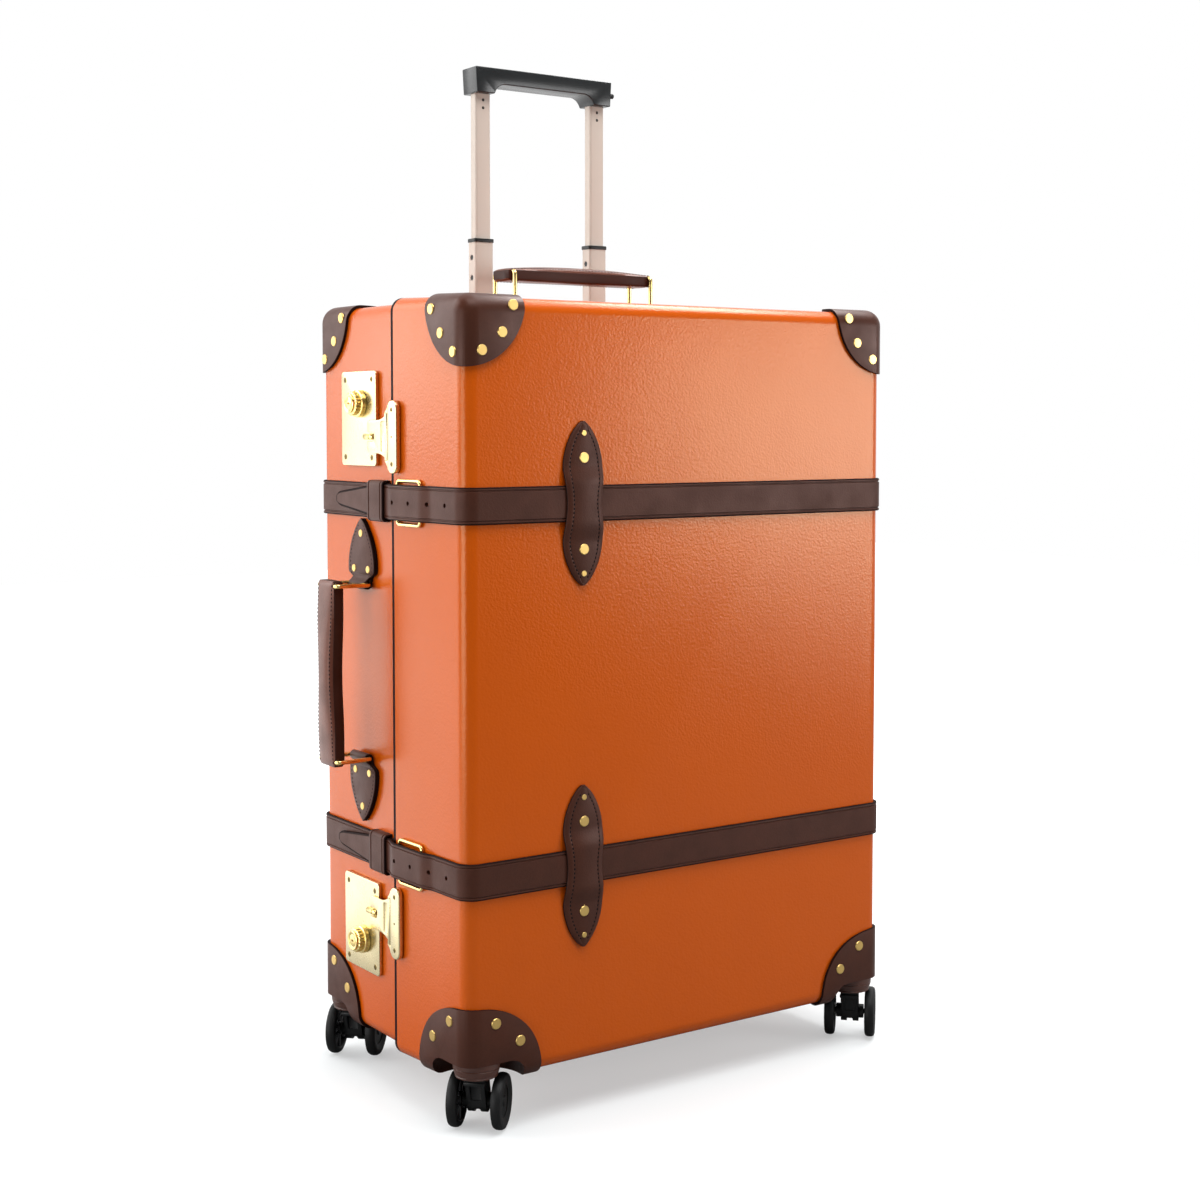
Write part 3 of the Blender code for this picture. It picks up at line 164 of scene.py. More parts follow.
class FinishColours(bpy.types.PropertyGroup):
    """Colours of the finishes."""
    lacquer: tint("Lacquer", "Colour of the lacquered board", (0.57, 0.085, 0.001))
    lacquer_deep: tint("Deep lacquer", "Colour of the darker mottling", (0.45, 0.060, 0.001))
    leather: tint("Leather", "Colour of the leather", (0.066, 0.0205, 0.0115))
    leather_deep: tint("Deep leather", "Colour in the leather's grain", (0.033, 0.0105, 0.006))
    # This dark finish is edge paint, and also painted shade at the lid's rim and round the straps'
    # tongues.
    edge_paint: tint("Edge paint", "Colour of painted edges", (0.013, 0.005, 0.004))
    brass: tint("Brass", "Colour of the polished brass", (0.90, 0.69, 0.27))
    tube: tint("Tube", "Colour of the anodised tubes", (0.505, 0.437, 0.377))
    grip: tint("Trolley grip", "Colour of the trolley's grip", (0.016, 0.018, 0.019))
    castor: tint("Castor", "Colour of the castors", (0.005, 0.005, 0.005))
    hub: tint("Hub", "Colour of the wheel hubs", (0.10, 0.10, 0.105))
    lining: tint("Lining", "Colour of the lining cloth", (0.42, 0.33, 0.24))
    thread: tint("Thread", "Colour of the stitches", (0.006, 0.003, 0.003))


class StageSettings(bpy.types.PropertyGroup):
    """Camera, floor and light."""
    lens: number("Lens", "Focal length on a 36 mm sensor", 55.87, unit="CAMERA")
    yaw: number("Yaw", "Heading of the camera", math.radians(34.656), subtype="ANGLE")
    pitch: number("Pitch", "Tilt of the camera", math.radians(-3.124), subtype="ANGLE")
    floor: tint("Floor", "Colour of the floor", (0.50, 0.52, 0.525))
    bounce: tint("Bounce", "Colour of the light the floor throws back", (0.24, 0.25, 0.255))
    ambient: number("Ambient", "Strength of the surrounding light", 0.15, min=0.0)
    key: power("Key", "Power of the high lamp behind the lock side", 60.0)
    side: power("Side", "Power of the low lamp behind the lock side", 5.5)
    front: power("Front", "Power of the high lamp before the lid", 27.0)
    fill: power("Fill", "Power of the lamp that fills the lock side", 18.0)
    top: power("Top", "Power of the lamp overhead", 26.0)
    sheen: power("Sheen", "Power of the lamp that glints on the lid", 22.0)
    glint: power("Glint", "Power of the small lamp that carries the glint down the lid", 2.8)
    rim: power("Rim", "Power of the lamp that lights the top edges", 34.0)


class SuitcaseSettings(bpy.types.PropertyGroup):
    """Everything a user may change."""
    case: PointerProperty(type=CaseSizes)
    trim: PointerProperty(type=TrimSizes)
    castor: PointerProperty(type=CastorSizes)
    handle: PointerProperty(type=HandleSizes)
    finish: PointerProperty(type=FinishColours)
    stage: PointerProperty(type=StageSettings)


def settings():
    return bpy.context.scene.suitcase


def rim_y():
    return FRONT + settings().case.lid_depth


def lid_x(y):
    """Half width of the lid, which flares from its front face to its rim."""
    case = settings().case
    return HALF + case.lid_flare * (y - FRONT) / case.lid_depth


def strap_heights():
    offset = MID - settings().trim.strap_inset
    return (("upper", MID + offset), ("lower", MID - offset))


def smooth(share):
    share = max(0.0, min(1.0, share))
    return share * share * (3.0 - 2.0 * share)


# Materials

WHITE = (1.0, 1.0, 1.0, 1.0)
FINISHES = {}


def start_material(name, rough, metallic=0.0):
    material = bpy.data.materials.new(name)
    material.use_nodes = True
    tree = material.node_tree
    shader = tree.nodes["Principled BSDF"]
    plug(tree, shader, {"Roughness": rough, "Metallic": metallic})
    return material, tree, shader


def plug(tree, made, sockets):
    """Links or sets the inputs of a node."""
    for key, value in sockets.items():
        if isinstance(value, bpy.types.NodeSocket):
            tree.links.new(value, made.inputs[key])
        else:
            made.inputs[key].default_value = value


def node(tree, kind, sockets=None, **attributes):
    made = tree.nodes.new(kind)
    for key, value in attributes.items():
        setattr(made, key, value)
    plug(tree, made, sockets or {})
    return made


def reckoned(tree, operation, *inputs):
    """Result of a math node over its inputs."""
    return node(tree, "ShaderNodeMath", dict(enumerate(inputs)), operation=operation).outputs[0]


def along(tree, vector, direction):
    """How far a vector runs along a direction."""
    made = node(tree, "ShaderNodeVectorMath", {0: vector, 1: direction}, operation="DOT_PRODUCT")
    return made.outputs["Value"]


def object_coords(tree, scale=(1.0, 1.0, 1.0)):
    coords = node(tree, "ShaderNodeTexCoord").outputs["Object"]
    return node(tree, "ShaderNodeMapping", {"Vector": coords, "Scale": scale}).outputs["Vector"]


def noise(tree, vector, scale, detail=3.0, rough=0.55):
    made = node(tree, "ShaderNodeTexNoise", {"Vector": vector, "Scale": scale, "Detail": detail,
                                             "Roughness": rough})
    return made.outputs["Fac"]


def ranged(tree, value, low, high, start=0.3, end=0.7):
    """Value moved from the range start to end into the range low to high."""
    made = node(tree, "ShaderNodeMapRange", {"Value": value, "From Min": start, "From Max": end,
                                             "To Min": low, "To Max": high})
    return made.outputs["Result"]


def mixed(tree, factor, *colours):
    """Blend of two colours, each a socket or three channels."""
    first, second = (colour if isinstance(colour, bpy.types.NodeSocket) else (*colour, 1.0)
                     for colour in colours)
    made = node(tree, "ShaderNodeMix", {0: factor, 6: first, 7: second}, data_type="RGBA")
    return made.outputs[2]


def scaled(colour, factor):
    return tuple(channel * factor for channel in colour)


def bumped(tree, shader, height, strength, distance):
    made = node(tree, "ShaderNodeBump", {"Height": height, "Strength": strength,
                                         "Distance": distance})
    tree.links.new(made.outputs["Normal"], shader.inputs["Normal"])


def lacquer_finish():
    """Lacquered fibre board: fine pebbling, soft wrinkles and mottling with a warm satin sheen."""
    finish = settings().finish
    material, tree, shader = start_material("orange_lacquer", 0.36)
    plain = object_coords(tree)
    mottle = noise(tree, object_coords(tree, (1.0, 1.0, 0.6)), 22.0, 2.0, 0.5)
    cloud = noise(tree, plain, 4.5, 2.0)
    wrinkle = noise(tree, object_coords(tree, (1.0, 1.0, 0.7)), 190.0, 1.0, 0.5)
    pebble = noise(tree, plain, 400.0, 1.0)
    patches = ranged(tree, mottle, 0.0, 0.12, 0.35, 0.75)
    specks = ranged(tree, pebble, 0.0, 0.08, 0.45, 0.8)
    tone = mixed(tree, patches, finish.lacquer, finish.lacquer_deep)
    tone = mixed(tree, specks, tone, finish.lacquer_deep)
    tone = mixed(tree, ranged(tree, cloud, 0.0, 0.12), tone, (0.64, 0.11, 0.006))
    plug(tree, shader, {"Base Color": tone, "Roughness": ranged(tree, mottle, 0.225, 0.245),
                        "Specular IOR Level": 0.40, "Specular Tint": (1.0, 0.88, 0.57, 1.0)})
    grain = reckoned(tree, "MULTIPLY_ADD", wrinkle, 0.35, pebble)
    bumped(tree, shader, grain, 0.34, 0.0006)
    return material


def leather_finish(name="brown_leather", gloss=0.46, grain_scale=520.0, strength=0.22, painted_highlight_gain=1.0,
                   shine=0.25):
    """Waxed bridle leather: fine pores, soft clouding and a satin sheen."""
    finish = settings().finish
    material, tree, shader = start_material(name, gloss)
    plain = object_coords(tree)
    pores = node(tree, "ShaderNodeTexVoronoi", {"Vector": plain, "Scale": grain_scale},
                 feature="F1").outputs["Distance"]
    cloud = noise(tree, plain, 34.0, 4.0)
    fine = noise(tree, plain, 1500.0, 2.0)
    # A gain above 1 makes the leather paler: a painted highlight.
    tone = mixed(tree, ranged(tree, cloud, 0.0, 0.5), scaled(finish.leather, painted_highlight_gain),
                 finish.leather_deep)
    tone = mixed(tree, ranged(tree, pores, 0.35, 0.0, 0.0, 0.5), tone, finish.leather_deep)
    plug(tree, shader, {"Base Color": tone,
                        "Roughness": ranged(tree, cloud, gloss - 0.07, gloss + 0.08),
                        "Specular IOR Level": shine, "Specular Tint": (1.0, 0.73, 0.67, 1.0),
                        "Sheen Weight": 0.02, "Sheen Roughness": 0.45,
                        "Sheen Tint": (0.9, 0.74, 0.70, 1.0)})
    bumped(tree, shader, reckoned(tree, "ADD", pores, fine), strength, 0.0003)
    return material


def metal_finish(name, colour, rough, scratch_scale, stretch=(1.0, 1.0, 1.0), strength=0.03,
                 metallic=1.0, cloud=0.6):
    """Metal with faint smudges and fine marks along one direction."""
    material, tree, shader = start_material(name, rough, metallic)
    smudge = noise(tree, object_coords(tree), 55.0, 4.0)
    marks = noise(tree, object_coords(tree, stretch), scratch_scale, 2.0)
    tone = mixed(tree, ranged(tree, smudge, 0.0, cloud), colour, scaled(colour, 0.86))
    polish = ranged(tree, smudge, rough * (1.0 - 0.4 * cloud), rough * (1.0 + 0.5 * cloud))
    plug(tree, shader, {"Base Color": tone, "Roughness": polish})
    bumped(tree, shader, marks, strength, 0.0001)
    return material


def plastic_finish(name, colour, rough, grain_scale=1400.0, strength=0.12, specular=0.5,
                   cloudy=1.0):
    """Moulded plastic with a fine spark texture."""
    material, tree, shader = start_material(name, rough)
    plain = object_coords(tree)
    grain = noise(tree, plain, grain_scale, 2.0)
    cloud = noise(tree, plain, 40.0)
    lighter = tuple(channel * (1.0 + 0.5 * cloudy) + 0.004 * cloudy for channel in colour)
    tone = mixed(tree, ranged(tree, cloud, 0.0, 0.5), colour, lighter)
    polish = ranged(tree, cloud, rough - 0.06 * cloudy, rough + 0.08 * cloudy)
    plug(tree, shader, {"Base Color": tone, "Roughness": polish, "Specular IOR Level": specular})
    bumped(tree, shader, grain, strength, 0.0002)
    return material


def cloth_finish():
    """Plain woven lining with a visible warp and weft."""
    colour = settings().finish.lining
    material, tree, shader = start_material("lining_cloth", 0.85)
    plain = object_coords(tree)
    warp, weft = (
        node(tree, "ShaderNodeTexWave", {"Vector": plain, "Scale": 420.0, "Distortion": 1.0},
             bands_direction=direction).outputs["Fac"] for direction in ("DIAGONAL", "Z"))
    weave = reckoned(tree, "MULTIPLY", warp, weft)
    slub = noise(tree, plain, 60.0, 4.0)
    darker = scaled(colour, 0.72)
    tone = mixed(tree, ranged(tree, slub, 0.0, 0.5), colour, darker)
    tone = mixed(tree, ranged(tree, weave, 0.35, 0.0, 0.0, 0.6), tone, darker)
    plug(tree, shader, {"Base Color": tone, "Sheen Weight": 0.2})
    bumped(tree, shader, weave, 0.3, 0.0004)
    return material


def finish_of(name):
    """The material of a finish, made when it is first asked for."""
    if name not in FINISHES:
        finish = settings().finish
        makers = {
            "lacquer": lacquer_finish,
            "leather": leather_finish,
            "moulded": lambda: leather_finish(
                "moulded_leather", gloss=0.38, grain_scale=640.0, strength=0.10),
            # The grips' padded faces take the leather 2.2 times paler, a painted highlight, with a
            # stronger shine.
            "padded": lambda: leather_finish("padded_leather", gloss=0.34, painted_highlight_gain=2.2, shine=0.5),
            "band": lambda: plastic_finish(
                "band_leather", finish.leather_deep, 0.5, grain_scale=700.0, specular=0.15),
            # Edge paint, also painted shade at the lid's rim and round the tongues.
            "edge": lambda: plastic_finish(
                "edge_paint", finish.edge_paint, 0.55, grain_scale=700.0, specular=0.05),
            "brass": lambda: metal_finish("polished_brass", finish.brass, 0.22, 900.0, cloud=0.35),
            "tube": lambda: metal_finish(
                "anodised_tube", finish.tube, 0.50, 1500.0, stretch=(1.0, 1.0, 0.02),
                strength=0.01, metallic=0.1, cloud=0.1),
            "pale_brass": lambda: metal_finish(
                "pale_brass", (0.76, 0.64, 0.38), 0.26, 900.0, cloud=0.3),
            "rivet": lambda: metal_finish(
                "rivet_brass", (0.72, 0.49, 0.165), 0.36, 900.0, cloud=0.4),
            "dark_brass": lambda: metal_finish("aged_brass", (0.16, 0.11, 0.03), 0.35, 900.0, cloud=0.5),
            "sleeve": lambda: metal_finish(
                "sleeve_metal", (0.55, 0.55, 0.56), 0.38, 700.0, stretch=(1.0, 1.0, 0.05)),
            "castor": lambda: plastic_finish("castor_plastic", finish.castor, 0.42, specular=0.3),
            "tyre": lambda: plastic_finish(
                "tyre_rubber", finish.castor, 0.50, grain_scale=900.0, specular=0.25),
            "hub": lambda: plastic_finish("hub_plastic", finish.hub, 0.38),
            "grip": lambda: plastic_finish(
                "grip_plastic", finish.grip, 0.24, grain_scale=1800.0, strength=0.03,
                specular=0.36, cloudy=0.15),
            "collar": lambda: plastic_finish(
                "collar_plastic", finish.leather, 0.38, grain_scale=1200.0),
            "cloth": cloth_finish,
            "thread": lambda: plastic_finish(
                "waxed_thread", finish.thread, 0.6, grain_scale=2600.0, strength=0.4,
                specular=0.1),
        }
        FINISHES[name] = makers[name]()
    return FINISHES[name]


# Shapes


def added(name, data):
    """A new object in the scene."""
    made = bpy.data.objects.new(name, data)
    bpy.context.scene.collection.objects.link(made)
    return made


def mesh_of(name, bm):
    mesh = bpy.data.meshes.new(name)
    bm.to_mesh(mesh)
    bm.free()
    return mesh


def holder_of(bm):
    """A passing object for a shape, with room for two finishes."""
    mesh = mesh_of("shape", bm)
    mesh.materials.append(None)
    mesh.materials.append(None)
    return added("shape", mesh)


def taken(holder):
    """The evaluated shape of a holder, which is then removed."""
    bpy.context.view_layer.update()
    graph = bpy.context.evaluated_depsgraph_get()
    mesh = bpy.data.meshes.new_from_object(holder.evaluated_get(graph))
    bm = bmesh.new()
    bm.from_mesh(mesh)
    bpy.data.meshes.remove(mesh)
    bpy.data.objects.remove(holder, do_unlink=True)
    return bm


def shaped(bm, kind, **values):
    """The shape after one modifier."""
    holder = holder_of(bm)
    modifier = holder.modifiers.new("step", kind)
    for key, value in values.items():
        setattr(modifier, key, value)
    return taken(holder)


def carve(bm, tool, operation="DIFFERENCE"):
    other = holder_of(tool)
    result = shaped(bm, "BOOLEAN", operation=operation, solver="EXACT", object=other)
    bpy.data.objects.remove(other, do_unlink=True)
    return result


def cleaned(bm):
    """Shape without doubled points and slivers, which a further cut could fail on."""
    bmesh.ops.remove_doubles(bm, verts=bm.verts, dist=SLIVER)
    bmesh.ops.dissolve_degenerate(bm, edges=bm.edges, dist=SLIVER)
    return bm


def eased(bm, width, segments=2, angle=40.0):
    """Shape with its sharp edges rounded."""
    return shaped(bm, "BEVEL", width=width, segments=segments, limit_method="ANGLE",
                  angle_limit=math.radians(angle))


def walled(bm, thickness):
    return shaped(bm, "SOLIDIFY", thickness=thickness, offset=-1.0, use_even_offset=True)


def add_piece(name, bm, body, finishes, nodes, angle):
    """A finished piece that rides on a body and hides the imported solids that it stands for."""
    mesh = mesh_of(name, bm)
    for finish in finishes:
        mesh.materials.append(finish_of(finish))
    mesh.shade_smooth()
    mesh.set_sharp_from_angle(angle=math.radians(angle))
    piece = added(name, mesh)
    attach(piece, body)
    if nodes:
        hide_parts(*nodes)
    return piece


def finish_piece(name, bm, body, finishes, nodes=(), place=None, angle=38.0):
    """Moves a shape from the case's frame, or from a place in it, to the world and finishes it."""
    bm.transform(Matrix.Translation(ORIGIN) @ (place or Matrix.Identity(4)))
    return add_piece(name, bm, body, finishes, nodes, angle)


def everything(bm):
    return bm.verts[:] + bm.edges[:] + bm.faces[:]


def block(low, high, radius=0.0, steps=4, axis=None):
    """Box with its edges rounded, or only those along one axis."""
    bm = bmesh.new()
    bmesh.ops.create_cube(bm, size=1.0)
    bmesh.ops.scale(bm, vec=Vector(high) - Vector(low), verts=bm.verts)
    bmesh.ops.translate(bm, vec=(Vector(high) + Vector(low)) / 2, verts=bm.verts)
    if radius > 0.0:
        edges = []
        for edge in bm.edges:
            run = (edge.verts[1].co - edge.verts[0].co).normalized()
            if axis is None or abs(run["XYZ".index(axis)]) > 0.9:
                edges.append(edge)
        bmesh.ops.bevel(bm, geom=edges, offset=radius, segments=steps, profile=0.5,
                        affect="EDGES")
    return bm


def rod(radius, run, centre, axis, sides=32):
    bm = bmesh.new()
    bmesh.ops.create_cone(bm, cap_ends=True, segments=sides, radius1=radius, radius2=radius,
                          depth=run, matrix=Matrix.Translation(Vector(centre)) @ AXIS_TURN[axis])
    return bm


def turned(profile, sides=64, closed=False):
    """Solid of revolution about Z from (radius, height) points.

    The points start and end on the axis, or are the closed section of a ring."""
    bm = bmesh.new()
    chain = [bm.verts.new((radius, 0.0, height)) for radius, height in profile]
    following = chain[1:] + chain[:1] if closed else chain[1:]
    edges = [bm.edges.new(pair) for pair in zip(chain, following)]
    bmesh.ops.spin(bm, geom=chain + edges, cent=(0, 0, 0), axis=(0, 0, 1), angle=2 * math.pi,
                   steps=sides, use_merge=True)
    bmesh.ops.remove_doubles(bm, verts=bm.verts, dist=WELD)
    poles = [vert for vert in bm.verts if vert.co.xy.length < WELD]
    bmesh.ops.dissolve_verts(bm, verts=poles)
    bmesh.ops.recalc_face_normals(bm, faces=bm.faces)
    return bm


def prism(outline, axis, low, high):
    bm = bmesh.new()
    index = "XYZ".index(axis)
    ring = [bm.verts.new((*point[:index], low, *point[index:])) for point in outline]
    push = Vector()
    push[index] = high - low
    grown = bmesh.ops.extrude_face_region(bm, geom=[bm.faces.new(ring)])["geom"]
    bmesh.ops.translate(bm, vec=push,
                        verts=[item for item in grown if isinstance(item, bmesh.types.BMVert)])
    bmesh.ops.recalc_face_normals(bm, faces=bm.faces)
    return bm


def arc(centre, radius, start, end, steps):
    points = []
    for i in range(steps + 1):
        angle = math.radians(start + (end - start) * i / steps)
        points.append((centre[0] + radius * math.cos(angle), centre[1] + radius * math.sin(angle)))
    return points


def rounded_outline(width, height, radius):
    x = width / 2 - radius
    y = height / 2 - radius
    outline = []
    for centre, start in (((x, y), 0), ((-x, y), 90), ((-x, -y), 180), ((x, -y), 270)):
        outline += arc(centre, radius, start, start + 90, 6)
    return outline


def mirrored(points):
    """Points and their mirror images across the first axis, in the order of an outline."""
    return points + [(-first, second) for first, second in reversed(points)]


def merged(*shapes):
    """Several separate shapes in one mesh."""
    whole = bmesh.new()
    for shape in shapes:
        mesh = mesh_of("shape", shape)
        whole.from_mesh(mesh)
        bpy.data.meshes.remove(mesh)
    return whole


def moved(bm, place):
    bmesh.ops.translate(bm, vec=place, verts=bm.verts)
    return bm


def bridge(bm, rings, edges=()):
    """Faces between neighbouring rings; the sides listed in edges take the second finish."""
    for first, second in zip(rings, rings[1:]):
        count = len(first)
        for k in range(count):
            j = (k + 1) % count
            face = bm.faces.new((first[k], first[j], second[j], second[k]))
            face.material_index = int(k in edges)


def wire_loop(points, radius, sides=12):
    """Closed wire of round section along the points, which lie in one plane."""
    bm = bmesh.new()
    points = [Vector(point) for point in points]
    points = [point for i, point in enumerate(points)
              if (point - points[i - 1]).length > 2 * WELD]
    count = len(points)
    normal = sum(((points[i - 1] - points[0]).cross(points[i] - points[0])
                  for i in range(count)), Vector())
    normal.normalize()
    rings = []
    for i in range(count):
        run = (points[(i + 1) % count] - points[i - 1]).normalized()
        out = run.cross(normal)
        ring = []
        for k in range(sides):
            angle = 2 * math.pi * k / sides
            offset = (out * math.cos(angle) + normal * math.sin(angle)) * radius
            ring.append(bm.verts.new(points[i] + offset))
        rings.append(ring)
    bridge(bm, rings + rings[:1])
    bmesh.ops.recalc_face_normals(bm, faces=bm.faces)
    return bm


def sweep(stations, profile, edges=()):
    """Closed solid through stations of (point, across, outward, size).

    Profile gives the section for a size. The sides of the section listed in edges, and both ends,
    take the second finish."""
    bm = bmesh.new()
    rings = []
    for point, across, outward, size in stations:
        rings.append([bm.verts.new(point + across * a + outward * h) for a, h in profile(size)])
    bridge(bm, rings, edges)
    for ring in (rings[0], rings[-1]):
        bm.faces.new(ring).material_index = int(bool(edges))
    bmesh.ops.recalc_face_normals(bm, faces=bm.faces)
    return bm


def stations_along(points, halves, across, side):
    """Stations for a sweep, square to the path; side turns the outward direction over."""
    points = [Vector(point) for point in points]
    across = Vector(across)
    stations = []
    for i, point in enumerate(points):
        run = points[min(i + 1, len(points) - 1)] - points[max(i - 1, 0)]
        outward = run.normalized().cross(across) * side
        stations.append((point, across, outward, halves[i]))
    return stations


# Sides of the sections below that are painted edges.
STRAP_EDGES = frozenset((0, 1, 2, 3, 4, 14, 15, 16, 17, 18))
LOOP_EDGES = frozenset((0, 1, 17, 18))
GRIP_EDGES = frozenset((12, 13, 14, 15, 16, 23, 24, 25, 26, 27))


def leather_section(thickness, crease, groove=0.0010):
    """Section of a flat leather strap: rounded painted edges and a pressed line near each edge.

    A size is a half width, or a half width and how deep the line is pressed there."""
    rounding, shadow_widening, widest_line = 0.0014, 0.0008, 0.0010

    def section(size):
        half, press = size if isinstance(size, tuple) else (size, 1.0)
        depth = groove * press
        # Where the line is pressed less, as on a tongue, the rounding grows and its dark edge finish
        # reaches onto the face: painted shadow round the tongue's outline, over its painted edge.
        r = min(rounding + shadow_widening * (1.0 - press), half * 0.4, thickness * (0.7 - 0.25 * press))
        line = half - min(crease, half * 0.55)
        wide = min(widest_line, min(crease, half * 0.55) * 0.3)
        right = [(half - r, 0.0), (half - r * 0.3, r * 0.3), (half, r), (half, thickness - r),
                 (half - r * 0.3, thickness - r * 0.3), (half - r, thickness),
                 (line + wide, thickness), (line + wide * 0.35, thickness - depth),
                 (line - wide * 0.35, thickness - depth), (line - wide, thickness)]
        return mirrored(right)
    return section


def flare(bm):
    """Widens a shape towards the rim, as the lid does."""
    case = settings().case
    for vert in bm.verts:
        share = (vert.co.y - FRONT) / case.lid_depth
        vert.co.x *= 1.0 + case.lid_flare / HALF * share
        vert.co.z = MID + (vert.co.z - MID) * (1.0 + case.lid_flare / MID * share)
    return bm


def case_form(grow):
    case = settings().case
    low = (-HALF - grow, FRONT - grow, -grow)
    high = (HALF + grow, BACK + grow, HEIGHT + grow)
    return block(low, high, case.edge_radius + grow, case.edge_steps)


def leather_form(half, grow):
    """The case's form, grown, as it is over one half."""
    form = case_form(grow)
    return flare(form) if half == "lid" else form


def tray(inset, closed_y, open_y, radius):
    """Rounded box left open on one side."""
    direction = math.copysign(1.0, open_y - closed_y)
    near, far = sorted((closed_y, open_y + direction * 3 * radius))
    bm = block((-HALF + inset, near, inset), (HALF - inset, far, HEIGHT - inset), radius,
               settings().case.edge_steps)
    bmesh.ops.bisect_plane(bm, geom=everything(bm), plane_co=(0, open_y, 0),
                           plane_no=(0, direction, 0), clear_outer=True)
    return bm


def blob(centre, reach, height, fullness):
    """Rounded lump that trims a leather corner to its outline; its cut takes the second finish."""
    bm = bmesh.new()
    bmesh.ops.create_uvsphere(bm, u_segments=72, v_segments=40, radius=1.0)
    power_of = 2.0 / fullness
    for vert in bm.verts:
        spread = math.hypot(vert.co.x, vert.co.y)
        level = math.copysign(abs(vert.co.z) ** power_of, vert.co.z)
        widen = spread ** power_of / spread if spread > 0.0001 else 0.0
        vert.co = (vert.co.x * widen * reach, vert.co.y * widen * reach, level * height)
    for face in bm.faces:
        face.material_index = 1
    return moved(bm, centre)


def dome(radius, top, rounding, bottom):
    """Profile of a round well with a rounded ceiling edge."""
    profile = [(0.0, top)]
    profile += arc((radius - rounding, top - rounding), rounding, 90, 0, 8)
    return profile + [(radius, bottom), (0.0, bottom)]


def castor_place(side, y_sign):
    castor = settings().castor
    return Vector((side * (HALF - castor.inset_x), y_sign * (BACK - castor.inset_y), 0.0))


def body_half(name):
    return name.split("_")[0]


def box_of(name):
    """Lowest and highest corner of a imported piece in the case's frame."""
    return [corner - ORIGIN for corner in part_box(name)]


def middle_of(name):
    return sum(box_of(name), Vector()) / 2


def post(name, size, low_z, high_z, radius, steps=5):
    """Upright bar of a half size with rounded edges about the middle of a packed tube."""
    middle = middle_of(name)
    x, y = size
    return block((middle.x - x, middle.y - y, low_z), (middle.x + x, middle.y + y, high_z),
                 radius, steps, "Z")


# Fasteners and stitches

TREES = {}
STITCH_SHARE = 0.64  # length of a stitch as a share of the pitch
BAKED_ANGLE = 40.0
RIVET_PROFILE = ((0.0, 0.16), (0.88, 0.16), (0.955, 0.085), (1.0, 0.0), (1.0, -0.12), (0.0, -0.12))
SCREW_PROFILE = ((0.0, 0.16), (0.62, 0.15), (0.92, 0.06), (1.0, 0.0), (1.0, -0.2), (0.0, -0.2))


def tree_of(name, sockets, lay):
    """A node tree and the identifiers of its inputs; lay gives the instances to make real."""
    if name not in TREES:
        tree = bpy.data.node_groups.new(name, "GeometryNodeTree")
        face = tree.interface
        face.new_socket("Geometry", in_out="OUTPUT", socket_type="NodeSocketGeometry")
        kinds = {"Geometry": "NodeSocketGeometry", **sockets, "Material": "NodeSocketMaterial"}
        names = {label: face.new_socket(label, in_out="INPUT", socket_type=kind).identifier
                 for label, kind in kinds.items()}
        given = tree.nodes.new("NodeGroupInput").outputs
        real = node(tree, "GeometryNodeRealizeInstances", {"Geometry": lay(tree, given)})
        painted = node(tree, "GeometryNodeSetMaterial", {"Geometry": real.outputs[0],
                                                         "Material": given["Material"]})
        node(tree, "NodeGroupOutput", {0: painted.outputs[0]})
        TREES[name] = (tree, names)
    return TREES[name]


def lay_fasteners(tree, given):
    """A copy of a fastener on every point, facing along the point's own direction."""
    model = node(tree, "GeometryNodeObjectInfo", {"Object": given["Fastener"]})
    facing = node(tree, "GeometryNodeInputNamedAttribute", {"Name": "facing"},
                  data_type="FLOAT_VECTOR")
    turn = node(tree, "FunctionNodeAlignRotationToVector", {"Vector": facing.outputs[0]}, axis="Z")
    placed = node(tree, "GeometryNodeInstanceOnPoints", {
        "Points": given["Geometry"], "Instance": model.outputs["Geometry"],
        "Rotation": turn.outputs[0], "Scale": given["Size"]})
    return placed.outputs[0]


def lay_stitches(tree, given):
    """Short thread stitches along every edge chain of a mesh."""
    curve = node(tree, "GeometryNodeMeshToCurve", {"Mesh": given["Geometry"]})
    points = node(tree, "GeometryNodeCurveToPoints", {"Curve": curve.outputs[0],
                                                      "Length": given["Pitch"]}, mode="LENGTH")
    bead = node(tree, "GeometryNodeMeshUVSphere", {"Segments": 6, "Rings": 5, "Radius": 0.5})
    run = reckoned(tree, "MULTIPLY", given["Pitch"], STITCH_SHARE)
    size = node(tree, "ShaderNodeCombineXYZ", {"X": given["Thread"], "Y": given["Thread"],
                                               "Z": run})
    placed = node(tree, "GeometryNodeInstanceOnPoints", {
        "Points": points.outputs["Points"], "Instance": bead.outputs["Mesh"],
        "Rotation": points.outputs["Rotation"], "Scale": size.outputs[0]})
    return placed.outputs[0]


def bake(name, mesh, made, values, finish, body):
    """Runs a node tree over a mesh and keeps the result as a plain piece."""
    tree, names = made
    carrier = added(name, mesh)
    modifier = carrier.modifiers.new("nodes", "NODES")
    modifier.node_group = tree
    for label, value in values.items():
        modifier[names[label]] = value
    modifier[names["Material"]] = finish_of(finish)
    bm = taken(carrier)
    if not bm.faces:
        raise RuntimeError(name + " came out empty")
    for face in bm.faces:
        face.material_index = 0
    return add_piece(name, bm, body, [finish], (), BAKED_ANGLE)


def set_fasteners(name, seats, model, size, finish, body):
    """One baked piece of like fasteners; seats are (point, facing) in the case's frame."""
    mesh = bpy.data.meshes.new(name)
    mesh.from_pydata([ORIGIN + Vector(point) for point, _ in seats], [], [])
    facing = mesh.attributes.new("facing", "FLOAT_VECTOR", "POINT")
    for i, (_, direction) in enumerate(seats):
        facing.data[i].vector = Vector(direction)
    made = tree_of("seat_fasteners", {"Fastener": "NodeSocketObject", "Size": "NodeSocketFloat"},
                   lay_fasteners)
    holder = holder_of(model)
    bake(name, mesh, made, {"Fastener": holder, "Size": size}, finish, body)
    bpy.data.objects.remove(holder, do_unlink=True)


